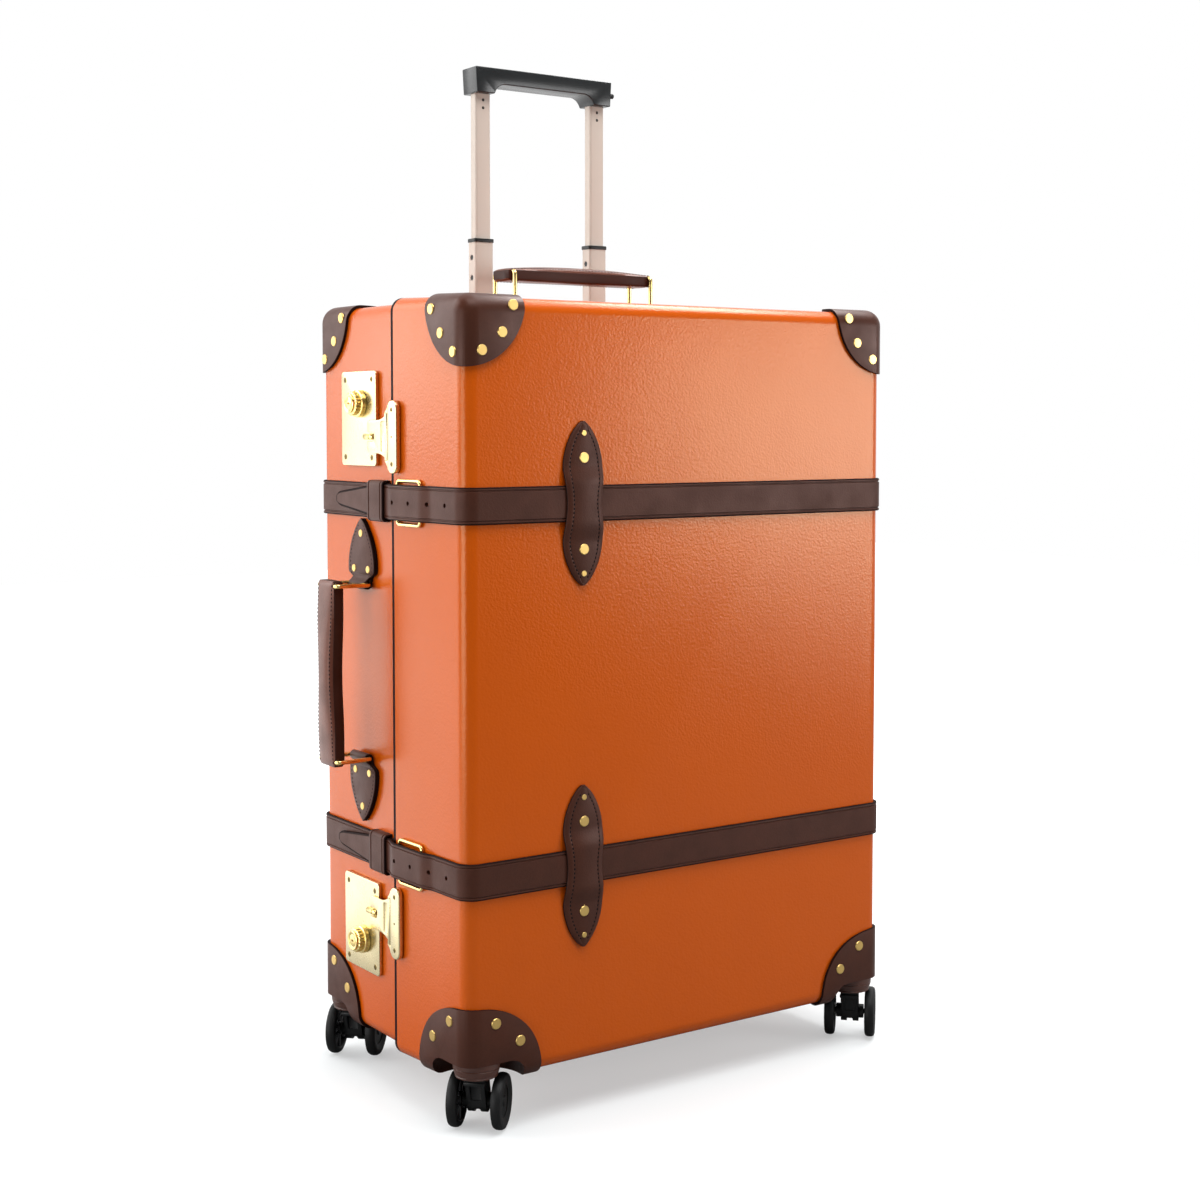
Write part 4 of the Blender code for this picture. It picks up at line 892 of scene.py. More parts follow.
def sew(name, rows, body, thread):
    """One baked piece of stitches along rows of points in the case's frame."""
    verts = []
    edges = []
    for row in rows:
        edges += [(len(verts) + i, len(verts) + i + 1) for i in range(len(row) - 1)]
        verts += [ORIGIN + Vector(point) for point in row]
    mesh = bpy.data.meshes.new(name)
    mesh.from_pydata(verts, edges, [])
    made = tree_of("lay_stitches", {"Pitch": "NodeSocketFloat", "Thread": "NodeSocketFloat"},
                   lay_stitches)
    values = {"Pitch": settings().trim.stitch_pitch, "Thread": thread}
    bake(name, mesh, made, values, "thread", body)


def rivet_head():
    """Flat rivet with a chamfered rim, of unit radius."""
    return turned(RIVET_PROFILE, 24)


def screw_head():
    """Countersunk screw with a cross recess, of unit radius."""
    run, half, top = 0.55, 0.09, 0.5
    head = carve(turned(SCREW_PROFILE, 20), block((-run, -half, 0.0), (run, half, top)))
    return carve(head, block((-half, -run, 0.01), (half, run, top)))


def spoke():
    """Round wheel spoke of unit length that runs out along its facing."""
    return rod(0.10, 1.0, (0, 0, 0.5), "Z", 10)


# Shells, linings and corners

WELL_BOTTOM = -0.02  # under the case, where the tool that cuts a well ends
HOUSING_BOTTOM = -0.024
COLLAR_RADIUS = 0.0229
COLLAR_STEPS = ((0.0229, 0.0134), (0.0222, 0.0129), (0.0222, 0.0122), (0.0228, 0.0117),
                (0.0212, 0.0062), (0.0206, 0.0058), (0.0206, 0.0053), (0.0210, 0.0048),
                (0.0206, 0.0036), (0.0168, 0.0036), (0.0168, 0.0080), (0.0, 0.0080))
# Places of the rivets on a corner: distance from the case's edge, and from its top or bottom.
TOP_RIVETS_FRONT = ((0.051, 0.007), (0.039, 0.0325), (0.017, 0.0495))
TOP_RIVETS_SIDE = ((0.053, 0.010), (0.0365, 0.033), (0.015, 0.051))
FOOT_RIVETS_FRONT = ((0.030, 0.057), (0.057, 0.036))
FOOT_RIVETS_SIDE = ((0.026, 0.058), (0.056, 0.036))


def with_wells(base, lid):
    """Both halves with the castor wells cut into their bottom corners."""
    castor = settings().castor
    well = dome(castor.well_radius, castor.well_height, castor.well_round, WELL_BOTTOM)
    halves = {"base": base, "lid": lid}
    for name, side, y_sign in CORNERS:
        half = body_half(name)
        halves[half] = carve(halves[half], moved(turned(well), castor_place(side, y_sign)))
    return halves["base"], halves["lid"]


def make_shells():
    case = settings().case
    rim = rim_y()
    overlap = rim - case.rim_overlap
    paint_and_shade_start = rim - case.rim_paint_and_shade
    opening = (0.0138, 0.0103)
    base = tray(0.0, BACK, overlap, case.edge_radius)
    lid = tray(0.0, FRONT, rim, case.edge_radius)
    for y in (paint_and_shade_start, overlap):
        bmesh.ops.bisect_plane(lid, geom=everything(lid), plane_co=(0, y, 0), plane_no=(0, 1, 0))
    base, lid = with_wells(walled(base, case.board), walled(flare(lid), case.board))
    for side in SIDES:
        base = carve(base, post("trolley_lower_tube_" + side, opening, HEIGHT - case.edge_radius,
                                HEIGHT + case.edge_radius, 0.0025, 4))
    # The lid's faces nearest its rim take the dark edge finish: partly the rim's edge paint, partly
    # painted shade of the gap where the base goes in.
    for face in lid.faces:
        face.material_index = int(face.calc_center_median().y > paint_and_shade_start)
    finish_piece("shell_base", base, "base", ["lacquer"], ["base_shell"])
    finish_piece("shell_lid", lid, "lid", ["lacquer", "edge"], ["lid_shell"])


def make_linings():
    case = settings().case
    inset = case.board + SEAT
    radius = case.edge_radius - case.board
    overlap = rim_y() - case.rim_overlap
    base = tray(inset, box_of("base_lining")[1].y, overlap, radius)
    lid = flare(tray(inset, FRONT + inset, overlap - case.board, radius))
    base, lid = with_wells(walled(base, case.lining), walled(lid, case.lining))
    finish_piece("lining_of_base", base, "base", ["cloth"], ["base_lining"])
    finish_piece("lining_of_lid", lid, "lid", ["cloth"], ["lid_lining"])


def moulded_corner(half, lump):
    """Solid leather over a corner of the case, trimmed to the outline of a lump."""
    leather = settings().trim.corner_leather
    return carve(lump, leather_form(half, leather + SEAT), "INTERSECT")


def make_top_corners():
    trim = settings().trim
    for name, side, y_sign in CORNERS:
        half = body_half(name)
        tip = (side * HALF, y_sign * BACK, HEIGHT)
        corner = moulded_corner(half, blob(tip, trim.top_reach, trim.top_reach, 2.0))
        corner = eased(carve(corner, leather_form(half, SEAT)), 0.0009, 3, 50)
        finish_piece("corner_top_" + name, corner, half, ["moulded", "edge"],
                     ["top_corner_" + name])


def make_foot_corners():
    trim = settings().trim
    castor = settings().castor
    wall = 0.0025
    ceiling = castor.well_height - SEAT
    radius = castor.well_radius - SEAT
    outside = dome(radius, ceiling, castor.well_round, HOUSING_BOTTOM)
    inside = dome(radius - wall, ceiling - wall, castor.well_round - wall, HOUSING_BOTTOM)
    for name, side, y_sign in CORNERS:
        half = body_half(name)
        place = castor_place(side, y_sign)
        tip = (side * HALF, y_sign * BACK, 0.0)
        corner = moulded_corner(half, blob(tip, trim.foot_reach, trim.foot_height, 2.3))
        solid = carve(leather_form(half, SEAT), moved(turned(outside), place))
        corner = cleaned(carve(corner, solid))
        corner = eased(carve(corner, moved(turned(inside), place)), 0.0010, 3, 50)
        finish_piece("corner_foot_" + name, corner, half, ["moulded", "edge"],
                     ["castor_corner_" + name])
        collar = turned([(0.0, ceiling - wall), (COLLAR_RADIUS, ceiling - wall), *COLLAR_STEPS])
        collar = carve(collar, rod(0.0044, 0.02, (0, 0, 0.0052), "Z"))
        finish_piece("castor_collar_" + name, moved(collar, place), half, ["collar"])


def corner_rivet_places(top, foot):
    """Rivets on one face of a corner pair, as distance from the case's edge and height."""
    return [(inward, HEIGHT - down) for inward, down in top] + list(foot)


def make_corner_rivets():
    trim = settings().trim
    stand = trim.corner_leather + SEAT
    seats = {"lid": [], "base": []}
    for name, side, y_sign in CORNERS:
        half = body_half(name)
        for inward, z in corner_rivet_places(TOP_RIVETS_FRONT, FOOT_RIVETS_FRONT):
            point = (side * (HALF - inward), y_sign * (BACK + stand), z)
            seats[half].append((point, (0, y_sign, 0)))
        for inward, z in corner_rivet_places(TOP_RIVETS_SIDE, FOOT_RIVETS_SIDE):
            y = y_sign * (BACK - inward)
            wall = lid_x(y) if half == "lid" else HALF
            seats[half].append(((side * (wall + stand), y, z), (side, 0, 0)))
    for half, places in seats.items():
        set_fasteners("corner_rivets_" + half, places, rivet_head(), trim.rivet_radius, "rivet",
                      half)


# Castors

SPOKES = 8
SPOKE_START = 0.0070


def make_fork(name, place, axle_z):
    """Fork about the swivel axis: hollowed body, dust lip, axle bosses, race and stem."""
    castor = settings().castor
    half = castor.fork_body / 2
    cheek = 0.0042
    axle = (castor.trail, 0, axle_z)
    outline = [(-0.0100, 0.0055), (-0.0100, -0.0003)]
    outline += arc((castor.trail, axle_z), 0.011, 180, 360, 20)
    outline += [(0.0120, -0.0003), (0.0120, 0.0055)]
    fork = prism(outline, "Y", -half, half)
    for near, far in ((-0.030, -0.0005), (0.0165, 0.040)):
        fork = carve(fork, block((near, -half + cheek, -0.0215), (far, half - cheek, -0.0058),
                                 0.0015, 3, "X"))
    groove = block((-0.03, -0.0032, axle_z - 0.03), (0.05, 0.0032, axle_z - 0.0060), 0.0012, 3, "X")
    fork = carve(fork, groove)
    lip = block((-0.0112, -half - 0.0008, -0.0050), (-0.0060, half + 0.0008, -0.0014))
    fork = carve(eased(fork, 0.0008), eased(lip, 0.0008), "UNION")
    fork = carve(fork, rod(0.0075, castor.fork_width, axle, "Y", 40), "UNION")
    fork = carve(fork, rod(0.0034, 0.06, axle, "Y"))
    fork = carve(fork, rod(0.0139, 0.004, (0, 0, 0.0057), "Z", 48), "UNION")
    fork = carve(fork, rod(0.004, 0.010, (0, 0, 0.0100), "Z", 32), "UNION")
    finish_piece("fork_" + name, fork, "castor_" + name, ["castor"],
                 ["castor_fork_" + name], place)


def make_castors():
    castor = settings().castor
    axle_z = middle_of("castor_wheels_lid_lock").z
    inner = castor.fork_width / 2 + 0.0012
    outer = inner + castor.wheel_width
    radius = castor.wheel_radius
    seat = 0.0148
    web = 0.0205
    tyre = [(seat, outer - 0.0024), (web, outer - 0.0003), (radius - 0.0036, outer - 0.0003),
            (radius - 0.0014, outer - 0.0011), (radius - 0.0003, outer - 0.0030),
            (radius, (inner + outer) / 2),
            (radius - 0.0003, inner + 0.0030), (radius - 0.0014, inner + 0.0011),
            (radius - 0.0036, inner + 0.0003), (web + 0.0006, inner + 0.0003),
            (web, inner + 0.0010), (web, inner + 0.0055), (seat, inner + 0.0055)]
    hub = [(0.0, outer - 0.0014), (0.0052, outer - 0.0014), (0.0060, outer - 0.0026),
           (0.0150, outer - 0.0032), (0.0150, inner + 0.0062), (0.0085, inner + 0.0062),
           (0.0068, inner + 0.0003), (0.0029, inner + 0.0003)]
    for name, side, y_sign in CORNERS:
        place = Matrix.Translation(castor_place(side, y_sign))
        place = place @ Matrix.Rotation(math.radians(45), 4, "Z")
        make_fork(name, place, axle_z)
        axle = place @ Matrix.Translation((castor.trail, 0, axle_z)) @ AXIS_TURN["Y"]
        wheels = "wheels_" + name
        tyres = [turned([(r, sign * h) for r, h in tyre], 72, closed=True) for sign in (1, -1)]
        finish_piece("tyres_" + name, merged(*tyres), wheels, ["tyre"],
                     ["castor_wheels_" + name], axle)
        hubs = turned(hub + [(r, -h) for r, h in reversed(hub)])
        finish_piece("hubs_" + name, hubs, wheels, ["castor"], place=axle)
        seats = []
        for sign in (1, -1):
            for k in range(SPOKES):
                angle = 2 * math.pi * k / SPOKES
                out = Vector((math.cos(angle), math.sin(angle), 0.0))
                foot = out * SPOKE_START + Vector((0.0, 0.0, sign * (inner + 0.0034)))
                seats.append((axle @ foot, axle.to_3x3() @ out))
        set_fasteners("spokes_" + name, seats, spoke(), web + 0.0003 - SPOKE_START, "hub", wheels)


# Straps

STRAP_GAP = 0.0015  # from the rim to the ends of the base's and the lid's lengths
HOLES = 4
HOLE_PITCH = 0.0298
LOOP_LEATHER = 0.0038
LOOP_SEAM = 0.0066  # from a loop's edge to its seam


def strap_corner(x_side, y_side, start, end):
    """Plan of a strap's inner face round one upright edge of the case."""
    radius = settings().case.edge_radius
    centre = (x_side * (HALF - radius), y_side * (BACK - radius))
    return arc(centre, radius + SEAT, start, end, 12)


def lid_strap_x(y):
    """Inner face of the lid's strap on the lock side: over the buckle, then down on the base."""
    trim = settings().trim
    rim = rim_y()
    near, far = rim - 0.0608, rim - 0.0112
    rise, fall = 0.018, 0.020
    raised = 2 * SEAT + 2 * trim.buckle_wire
    on_base = HALF + 2 * SEAT + trim.strap_leather
    if y < far:
        return lid_x(y) + SEAT + (raised - SEAT) * smooth((y - near + rise) / rise)
    top = lid_x(far) + raised
    return top + (on_base - top) * smooth((y - far) / fall)


def tongue_half(y, half):
    """Half width of the lid's strap on the lock side, and how deep its lines are pressed."""
    rim = rim_y()
    tip = rim + settings().trim.tongue_reach
    taper = rim + 0.040
    tip_half, tip_round, least = 0.0062, 0.013, 0.14
    waist = half - 0.0020 * smooth((y - rim - 0.012) / 0.028)
    share = max(0.0, (y - taper) / (tip - taper))
    rounded = math.sqrt(max(0.0, 1.0 - max(0.0, (y - tip + tip_round) / tip_round) ** 2))
    press = 1.0 - smooth((y - rim - 0.008) / 0.006)
    return ((waist + (tip_half - waist) * share) * max(least, rounded), press)


def make_base_strap(name, height, half, section):
    y = rim_y()
    x = HALF + SEAT
    straight = 0.06
    plan = [(-x, y + STRAP_GAP), (-x, y + straight)]
    plan += strap_corner(-1, 1, 180, 90) + strap_corner(1, 1, 90, 0)
    plan += [(x, y + straight), (x, y + STRAP_GAP)]
    points = [(*point, height) for point in plan]
    stations = stations_along(points, [half] * len(points), (0, 0, 1), -1.0)
    finish_piece("belt_base_" + name, sweep(stations, section, STRAP_EDGES), "base",
                 ["leather", "edge"], ["strap_base_" + name])


def make_lid_strap(name, height, half, section):
    """The lid's length of a strap, from the hinge side round to its holed tongue."""
    rim = rim_y()
    tip = rim + settings().trim.tongue_reach
    thin = 0.003
    start = rim - STRAP_GAP
    plan = [(lid_x(start) + SEAT, start)]
    for x, y in strap_corner(1, -1, 0, -90) + strap_corner(-1, -1, 270, 180):
        plan.append((x * lid_x(y) / HALF, y))
    halves = [half] * len(plan)
    y = rim - 0.090
    while y < tip - 0.0002:
        plan.append((-lid_strap_x(y), y))
        halves.append(tongue_half(y, half))
        y += 0.0025 if y < tip - 0.015 else 0.0008
    points = [(*point, height) for point in plan]
    stations = []
    for point, across, outward, size in stations_along(points, halves, (0, 0, 1), -1.0):
        outward = outward * (1.0 - 0.55 * smooth((point.y - tip + thin) / thin))
        stations.append((point, across, outward, size))
    strap = sweep(stations, section, STRAP_EDGES)
    # The tongue's last 4.2 mm take the dark edge finish: painted shadow of the tip standing off the
    # strap beneath.
    for face in strap.faces:
        if face.calc_center_median().y > tip - 0.0042:
            face.material_index = 1
    for i in range(HOLES):
        y = rim - 0.0133 - HOLE_PITCH * i
        strap = carve(strap, rod(0.0022, 0.016, (-lid_x(y) - 0.006, y, height), "X", 20))
    finish_piece("belt_lid_" + name, strap, "lid", ["leather", "edge"],
                 ["strap_lid_" + name])


def make_straps():
    trim = settings().trim
    section = leather_section(trim.strap_leather, trim.crease)
    for name, height in strap_heights():
        make_base_strap(name, height, trim.strap_width / 2, section)
        make_lid_strap(name, height, trim.strap_width / 2, section)


def make_keepers_and_buckles():
    trim = settings().trim
    rim = rim_y()
    play = 0.0006
    leg = trim.strap_width / 2 + play
    roof = HALF + 2 * (SEAT + trim.strap_leather) + play
    bend = 0.0022
    middle = rim + 0.011 + trim.keeper_length / 2
    section = leather_section(0.0024, 0.0048)
    buckle_length, buckle_height, buckle_gap = 0.042, 0.0425, 0.015
    for name, height in strap_heights():
        plan = [(HALF + SEAT, -leg), (roof - bend, -leg)]
        plan += arc((roof - bend, -leg + bend), bend, -90, 0, 6)
        plan += arc((roof - bend, leg - bend), bend, 0, 90, 6)
        plan += [(HALF + SEAT, leg)]
        points = [(-x, middle, height + z) for x, z in plan]
        stations = stations_along(points, [trim.keeper_length / 2] * len(points), (0, 1, 0), 1.0)
        finish_piece("belt_keeper_" + name, sweep(stations, section, STRAP_EDGES), "base",
                     ["leather", "edge"], ["strap_keeper_" + name])
        points = []
        for run, up in rounded_outline(buckle_length, buckle_height, 2 * trim.buckle_wire):
            y = rim - buckle_gap - buckle_length / 2 + run
            points.append((-lid_x(y) - SEAT - trim.buckle_wire, y, height + up))
        finish_piece("belt_buckle_" + name, wire_loop(points, trim.buckle_wire), "lid",
                     ["brass"], ["strap_buckle_" + name])


def loop_half(offset):
    """Half width of a strap loop at a distance from its middle."""
    end = settings().trim.loop_length / 2
    offset = abs(offset)
    waist, lobe, lobe_at = 0.020, 0.023, 0.033
    if offset < lobe_at:
        return waist + 0.003 * (1.0 - math.cos(math.pi * offset / lobe_at)) / 2
    share = max(0.012, min(1.0, (end - offset) / (end - lobe_at)))
    return lobe * math.sin(math.pi / 2 * share) ** 0.6


def loop_section(half):
    """Section of a strap loop: soft margins from a pressed seam to the painted edges."""
    s = min(1.0, half / 0.012)
    right = [(half - 0.0006 * s, 0.0), (half, 0.0006), (half - 0.0003 * s, 0.0016),
             (half - 0.0016 * s, 0.0026), (half - 0.0034 * s, 0.0033), (half - 0.0054 * s, 0.0037),
             (half - 0.0061 * s, 0.0037), (half - 0.0065 * s, 0.0036), (half - 0.0069 * s, 0.0036),
             (half - 0.0074 * s, LOOP_LEATHER)]
    return mirrored(right)


def loop_lift(offset):
    """Height of a loop's underside over the shell: down at its ends and up over the strap."""
    trim = settings().trim
    edge = trim.strap_width / 2 + 2 * SEAT
    slope = 0.020
    over = smooth((edge + slope - abs(offset)) / slope)
    return SEAT + (SEAT + trim.strap_leather) * over


def loop_offsets():
    """Distances from a loop's middle for its stations, closer together at both ends."""
    end = settings().trim.loop_length / 2
    offsets = []
    step = -end
    while step < end:
        offsets.append(step)
        step += 0.0005 if abs(step) > end - 0.003 else 0.0018
    return offsets + [end]


def make_strap_loops():
    trim = settings().trim
    x = trim.loop_x
    offsets = loop_offsets()
    halves = [loop_half(offset) for offset in offsets]
    for side, body, y_sign in (("front", "lid", -1), ("back", "base", 1)):
        facing = (0, y_sign, 0)
        rivets = []
        studs = []
        rows = []
        for name, height in strap_heights():
            points = [(x, y_sign * (BACK + loop_lift(offset)), height + offset)
                      for offset in offsets]
            stations = stations_along(points, halves, (1, 0, 0), float(y_sign))
            finish_piece("belt_loop_" + side + "_" + name,
                         sweep(stations, loop_section, LOOP_EDGES), body,
                         ["leather", "edge"], ["strap_loop_" + side + "_" + name])
            for edge in (-1, 1):
                row = []
                for offset, half in zip(offsets, halves):
                    if half > LOOP_SEAM * 1.6:
                        y = y_sign * (BACK + loop_lift(offset) + LOOP_LEATHER - 0.0003)
                        row.append((x + edge * (half - LOOP_SEAM), y, height + offset))
                rows.append(row)
            for sign in (-1, 1):
                y = y_sign * (BACK + SEAT + LOOP_LEATHER)
                rivets.append(((x, y, height + sign * 0.044), facing))
                studs.append(((x, y, height + sign * 0.0675), facing))
        sew("loop_stitches_" + side, rows, body, 0.0016)
        set_fasteners("loop_rivets_" + side, rivets, rivet_head(), trim.rivet_radius, "rivet",
                      body)
        set_fasteners("loop_studs_" + side, studs, rivet_head(), 0.0028, "rivet", body)


# Locks

KNUCKLE = 0.00275  # radius of a hasp's knuckle
HASP_FOOT = 0.023  # half width of a hasp at its knuckle
KNOB_PROFILE = ((0.0, 0.0136), (0.0060, 0.0136), (0.0064, 0.0133), (0.0068, 0.0136),
                (0.0091, 0.0140), (0.0098, 0.0135), (0.0098, 0.0118), (0.0112, 0.0116),
                (0.0122, 0.0108), (0.0122, 0.0066), (0.0114, 0.0060), (0.0128, 0.0056),
                (0.0138, 0.0050), (0.0140, 0.0042), (0.0140, 0.0004), (0.0040, 0.0004),
                (0.0040, -0.0034), (0.0, -0.0034))
CATCH_PROFILE = ((0.0, 0.0), (0.0020, 0.0), (0.0030, 0.0012), (0.0030, 0.0050), (0.0024, 0.0056),
                 (0.0024, 0.0066), (0.0030, 0.0072), (0.0030, 0.0180), (0.0023, 0.0190),
                 (0.0, 0.0190))


def knob_shape():
    """Key knob about Z: a collar, a fluted barrel and a plain front disc with its keyhole."""
    flutes, depth = 18, 0.075
    knob = turned(KNOB_PROFILE, 144)
    for vert in knob.verts:
        if vert.co.xy.length > 0.0105 and 0.0063 < vert.co.z < 0.0117:
            angle = math.atan2(vert.co.y, vert.co.x)
            wave = (0.5 + 0.5 * math.cos(angle * flutes)) ** 2
            vert.co.xy = vert.co.xy * (1.0 - depth * wave)
    knob = carve(knob, rod(0.0013, 0.006, (0, 0, 0.0136), "Z", 20))
    return carve(knob, block((-0.0005, -0.0030, 0.0112), (0.0005, 0.0030, 0.02)))


def make_lock_plate(name, low, high, face, knob, catch):
    """Plate with its catch and key knob; knob and catch are places on its face."""
    middle = (low.z + high.z) / 2
    half_height = 0.0475
    plate = block((face, low.y, middle - half_height),
                  (-(HALF + SEAT), high.y, middle + half_height), 0.004, 6, "X")
    plate = carve(eased(plate, 0.0009, 3, 60), rod(0.0046, 0.02, (face, *knob), "X"))
    finish_piece("lock_face_" + name, plate, "base", ["pale_brass"],
                 ["lock_plate_" + name])
    nub = turned(CATCH_PROFILE, 32)
    nub.transform(AXIS_TURN["Y"])
    finish_piece("lock_catch_" + name, nub, "base", ["brass"],
                 place=Matrix.Translation((face - 0.0015, *catch)))
    turn = Matrix.Translation((face, *knob)) @ Matrix.Rotation(math.radians(-90), 4, "Y")
    finish_piece("lock_key_knob_" + name, knob_shape(), "knob_" + name, ["brass"],
                 ["lock_knob_" + name], turn)


def make_hasp(name, low, high, face, hasp_z):
    """Hasp that swings on the bar: a broad foot, a pocket, and a notch that drops on the catch."""
    pivot_y = low.y + KNUCKLE
    pivot = (-(lid_x(rim_y()) + SEAT + KNUCKLE), pivot_y, hasp_z)
    reach = high.y - pivot_y
    half, corner, thickness = 0.0165, 0.004, 0.0025
    inner = face - 0.0005
    edge = [(0.0, HASP_FOOT)]
    for i in range(13):
        sweep_in = (1.0 - i / 12) ** 1.8
        edge.append((KNUCKLE + 0.020 * i / 12, half + (HASP_FOOT - half) * sweep_in))
    edge += arc((reach - corner, half - corner), corner, 90, 0, 6)
    outline = [(y + pivot_y, hasp_z - z) for y, z in edge]
    outline += [(y + pivot_y, hasp_z + z) for y, z in reversed(edge)]
    arm = prism(outline, "X", inner - thickness, inner)
    pocket = block((inner - 0.02, pivot_y + 0.0048, hasp_z - 0.0150),
                   (inner - 0.0013, pivot_y + 0.0158, hasp_z + 0.0150), 0.0015, 4, "X")
    notch = block((inner - 0.02, high.y - 0.014, hasp_z - 0.0045),
                  (inner + 0.02, high.y + 0.02, hasp_z + 0.0045), 0.0025, 4, "X")
    arm = eased(carve(carve(arm, pocket), notch), 0.0006, 3, 50)
    knuckle = eased(rod(KNUCKLE, 2 * HASP_FOOT, pivot, "Z"), 0.0004)
    knuckle = carve(knuckle, rod(0.0016, 0.06, pivot, "Z"))
    finish_piece("lock_hasp_arm_" + name, merged(arm, knuckle), "hasp_" + name,
                 ["pale_brass"], ["lock_hasp_" + name])


def make_hinge_bar(name, wall, far, pivot_y, hasp_z):
    """Bar on the lid's rim with two swept ears that carry the hasp's pin."""
    thickness, width, half = 0.0052, 0.0178, 0.0355
    ear_reach, steps = 0.008, 6
    bar = block((wall - thickness, far - width, hasp_z - half), (wall, far, hasp_z + half),
                0.0075, 10, "X")
    shapes = [eased(bar, 0.0012, 3, 60)]
    tip = pivot_y + KNUCKLE
    root = far - 0.002
    for end in (-1, 1):
        foot = hasp_z + end * (HASP_FOOT + SEAT)
        outline = [(root, foot)]
        for k in range(steps + 1):
            y = far + (tip - far) * (1.0 - k / steps) ** 1.8
            outline.append((y, foot + end * ear_reach * k / steps))
        outline.append((root, foot + end * ear_reach))
        ear = prism(outline, "X", wall - 0.0050, wall - SEAT)
        shapes.append(eased(ear, 0.0005, 2, 60))
    shapes.append(rod(0.0013, 0.052, (wall - KNUCKLE, pivot_y, hasp_z), "Z"))
    finish_piece("lock_hinge_bar_" + name, merged(*shapes), "lid", ["pale_brass"],
                 ["lock_bar_" + name])
    return wall - thickness, far - width / 2


def make_locks():
    rim = rim_y()
    facing = (-1, 0, 0)
    face = -(HALF + SEAT) - 0.004
    edge, rise = 0.0085, 0.039
    plate_screws = []
    bar_screws = []
    pins = []
    for name, up in (("upper", 1), ("lower", -1)):
        low, high = box_of("lock_plate_" + name)
        hasp_low, hasp_high = box_of("lock_hasp_" + name)
        middle = (low.z + high.z) / 2
        hasp_z = middle - up * 0.018
        knob = ((low.y + high.y) / 2 - 0.005, middle + up * 0.015)
        make_lock_plate(name, low, high, face, knob, (hasp_high.y - 0.011, hasp_z))
        for y in (low.y + edge, high.y - edge):
            plate_screws += [((face, y, z), facing) for z in (middle - rise, middle + rise)]
        make_hasp(name, hasp_low, hasp_high, face, hasp_z)
        x, y = make_hinge_bar(name, -(lid_x(rim) + SEAT), rim - 4 * SEAT, hasp_low.y + KNUCKLE,
                              hasp_z)
        bar_screws += [((x, y, hasp_z + dz), facing) for dz in (-0.0265, 0.0265)]
        pins.append(((x, y, hasp_z), facing))
    # Screws and pins are in a brass far darker than the plates.
    set_fasteners("lock_screws", plate_screws, screw_head(), 0.0029, "dark_brass", "base")
    set_fasteners("hinge_bar_screws", bar_screws, screw_head(), 0.0024, "dark_brass", "lid")
    set_fasteners("hinge_bar_pins", pins, rivet_head(), 0.0012, "dark_brass", "lid")


# Carry handles

RING_AXIS = 0.0061  # height of a ring's pivot over the case
TAB_LEATHER = 0.0024
TAB_SEAM = 0.0045
RING_PLAY = 0.0003
GRIP_SEAM = 0.0018  # height over the ring bar where a grip's padding meets its edge


def tab_half(distance):
    """Half width of a handle tab at a distance from its ring."""
    handle = settings().handle
    neck = handle.tab_neck / 2
    wide = handle.tab_width / 2
    widest = handle.tab_length * 0.26
    if distance < widest:
        shoulder = smooth((distance - 0.0055) / 0.0065)
        return neck + (wide - neck) * (0.92 * shoulder + 0.08 * smooth(distance / widest))
    share = max(0.012, (handle.tab_length - distance) / (handle.tab_length - widest))
    return wide * math.sin(math.pi / 2 * share) ** 0.72


def tab_steps():
    """Distances from the ring for a tab's stations, closer together at both ends."""
    end = settings().handle.tab_length
    steps = [0.0005 * i for i in range(6)]
    while steps[-1] < end - 0.0065:
        steps.append(steps[-1] + 0.002)
    return steps + [end - 0.004 + 0.0004 * i for i in range(11)]


def grip_half(share):
    handle = settings().handle
    swell = (1.0 - math.cos(math.pi * min(1.0, abs(share) / 0.7))) / 2
    return (handle.grip_waist + (handle.grip_end - handle.grip_waist) * swell) / 2


def grip_crown(share):
    """Rise of a grip's padding over its edges: full in the middle, low at both ends."""
    return settings().handle.grip_crown * (1.0 - 0.72 * abs(share) ** 2.2)


def grip_section(size):
    """Section of a grip for a half width and a crown: padded face, firm edges, flat inner face."""
    half, crown = size
    high = GRIP_SEAM
    low = high - settings().handle.grip_thickness
    r, hollow, boxy = 0.0011, 0.0006, 0.85
    across = half - 0.0006
    outer = []
    for k in range(13):
        turn = math.pi * k / 12
        a = math.copysign(abs(math.cos(turn)) ** boxy, math.cos(turn))
        outer.append((across * a, high + crown * math.sin(turn) ** boxy))
    left = [(-half + 0.0001, high - 0.0002), (-half, high - 0.0006), (-half, low + r),
            (-half + 0.3 * r, low + 0.3 * r)]
    inner = [((half - r) * (k / 3 - 1), low - hollow * (1 - (k / 3 - 1) ** 2)) for k in range(7)]
    right = [(-a, h) for a, h in reversed(left)]
    return outer + left + inner + right


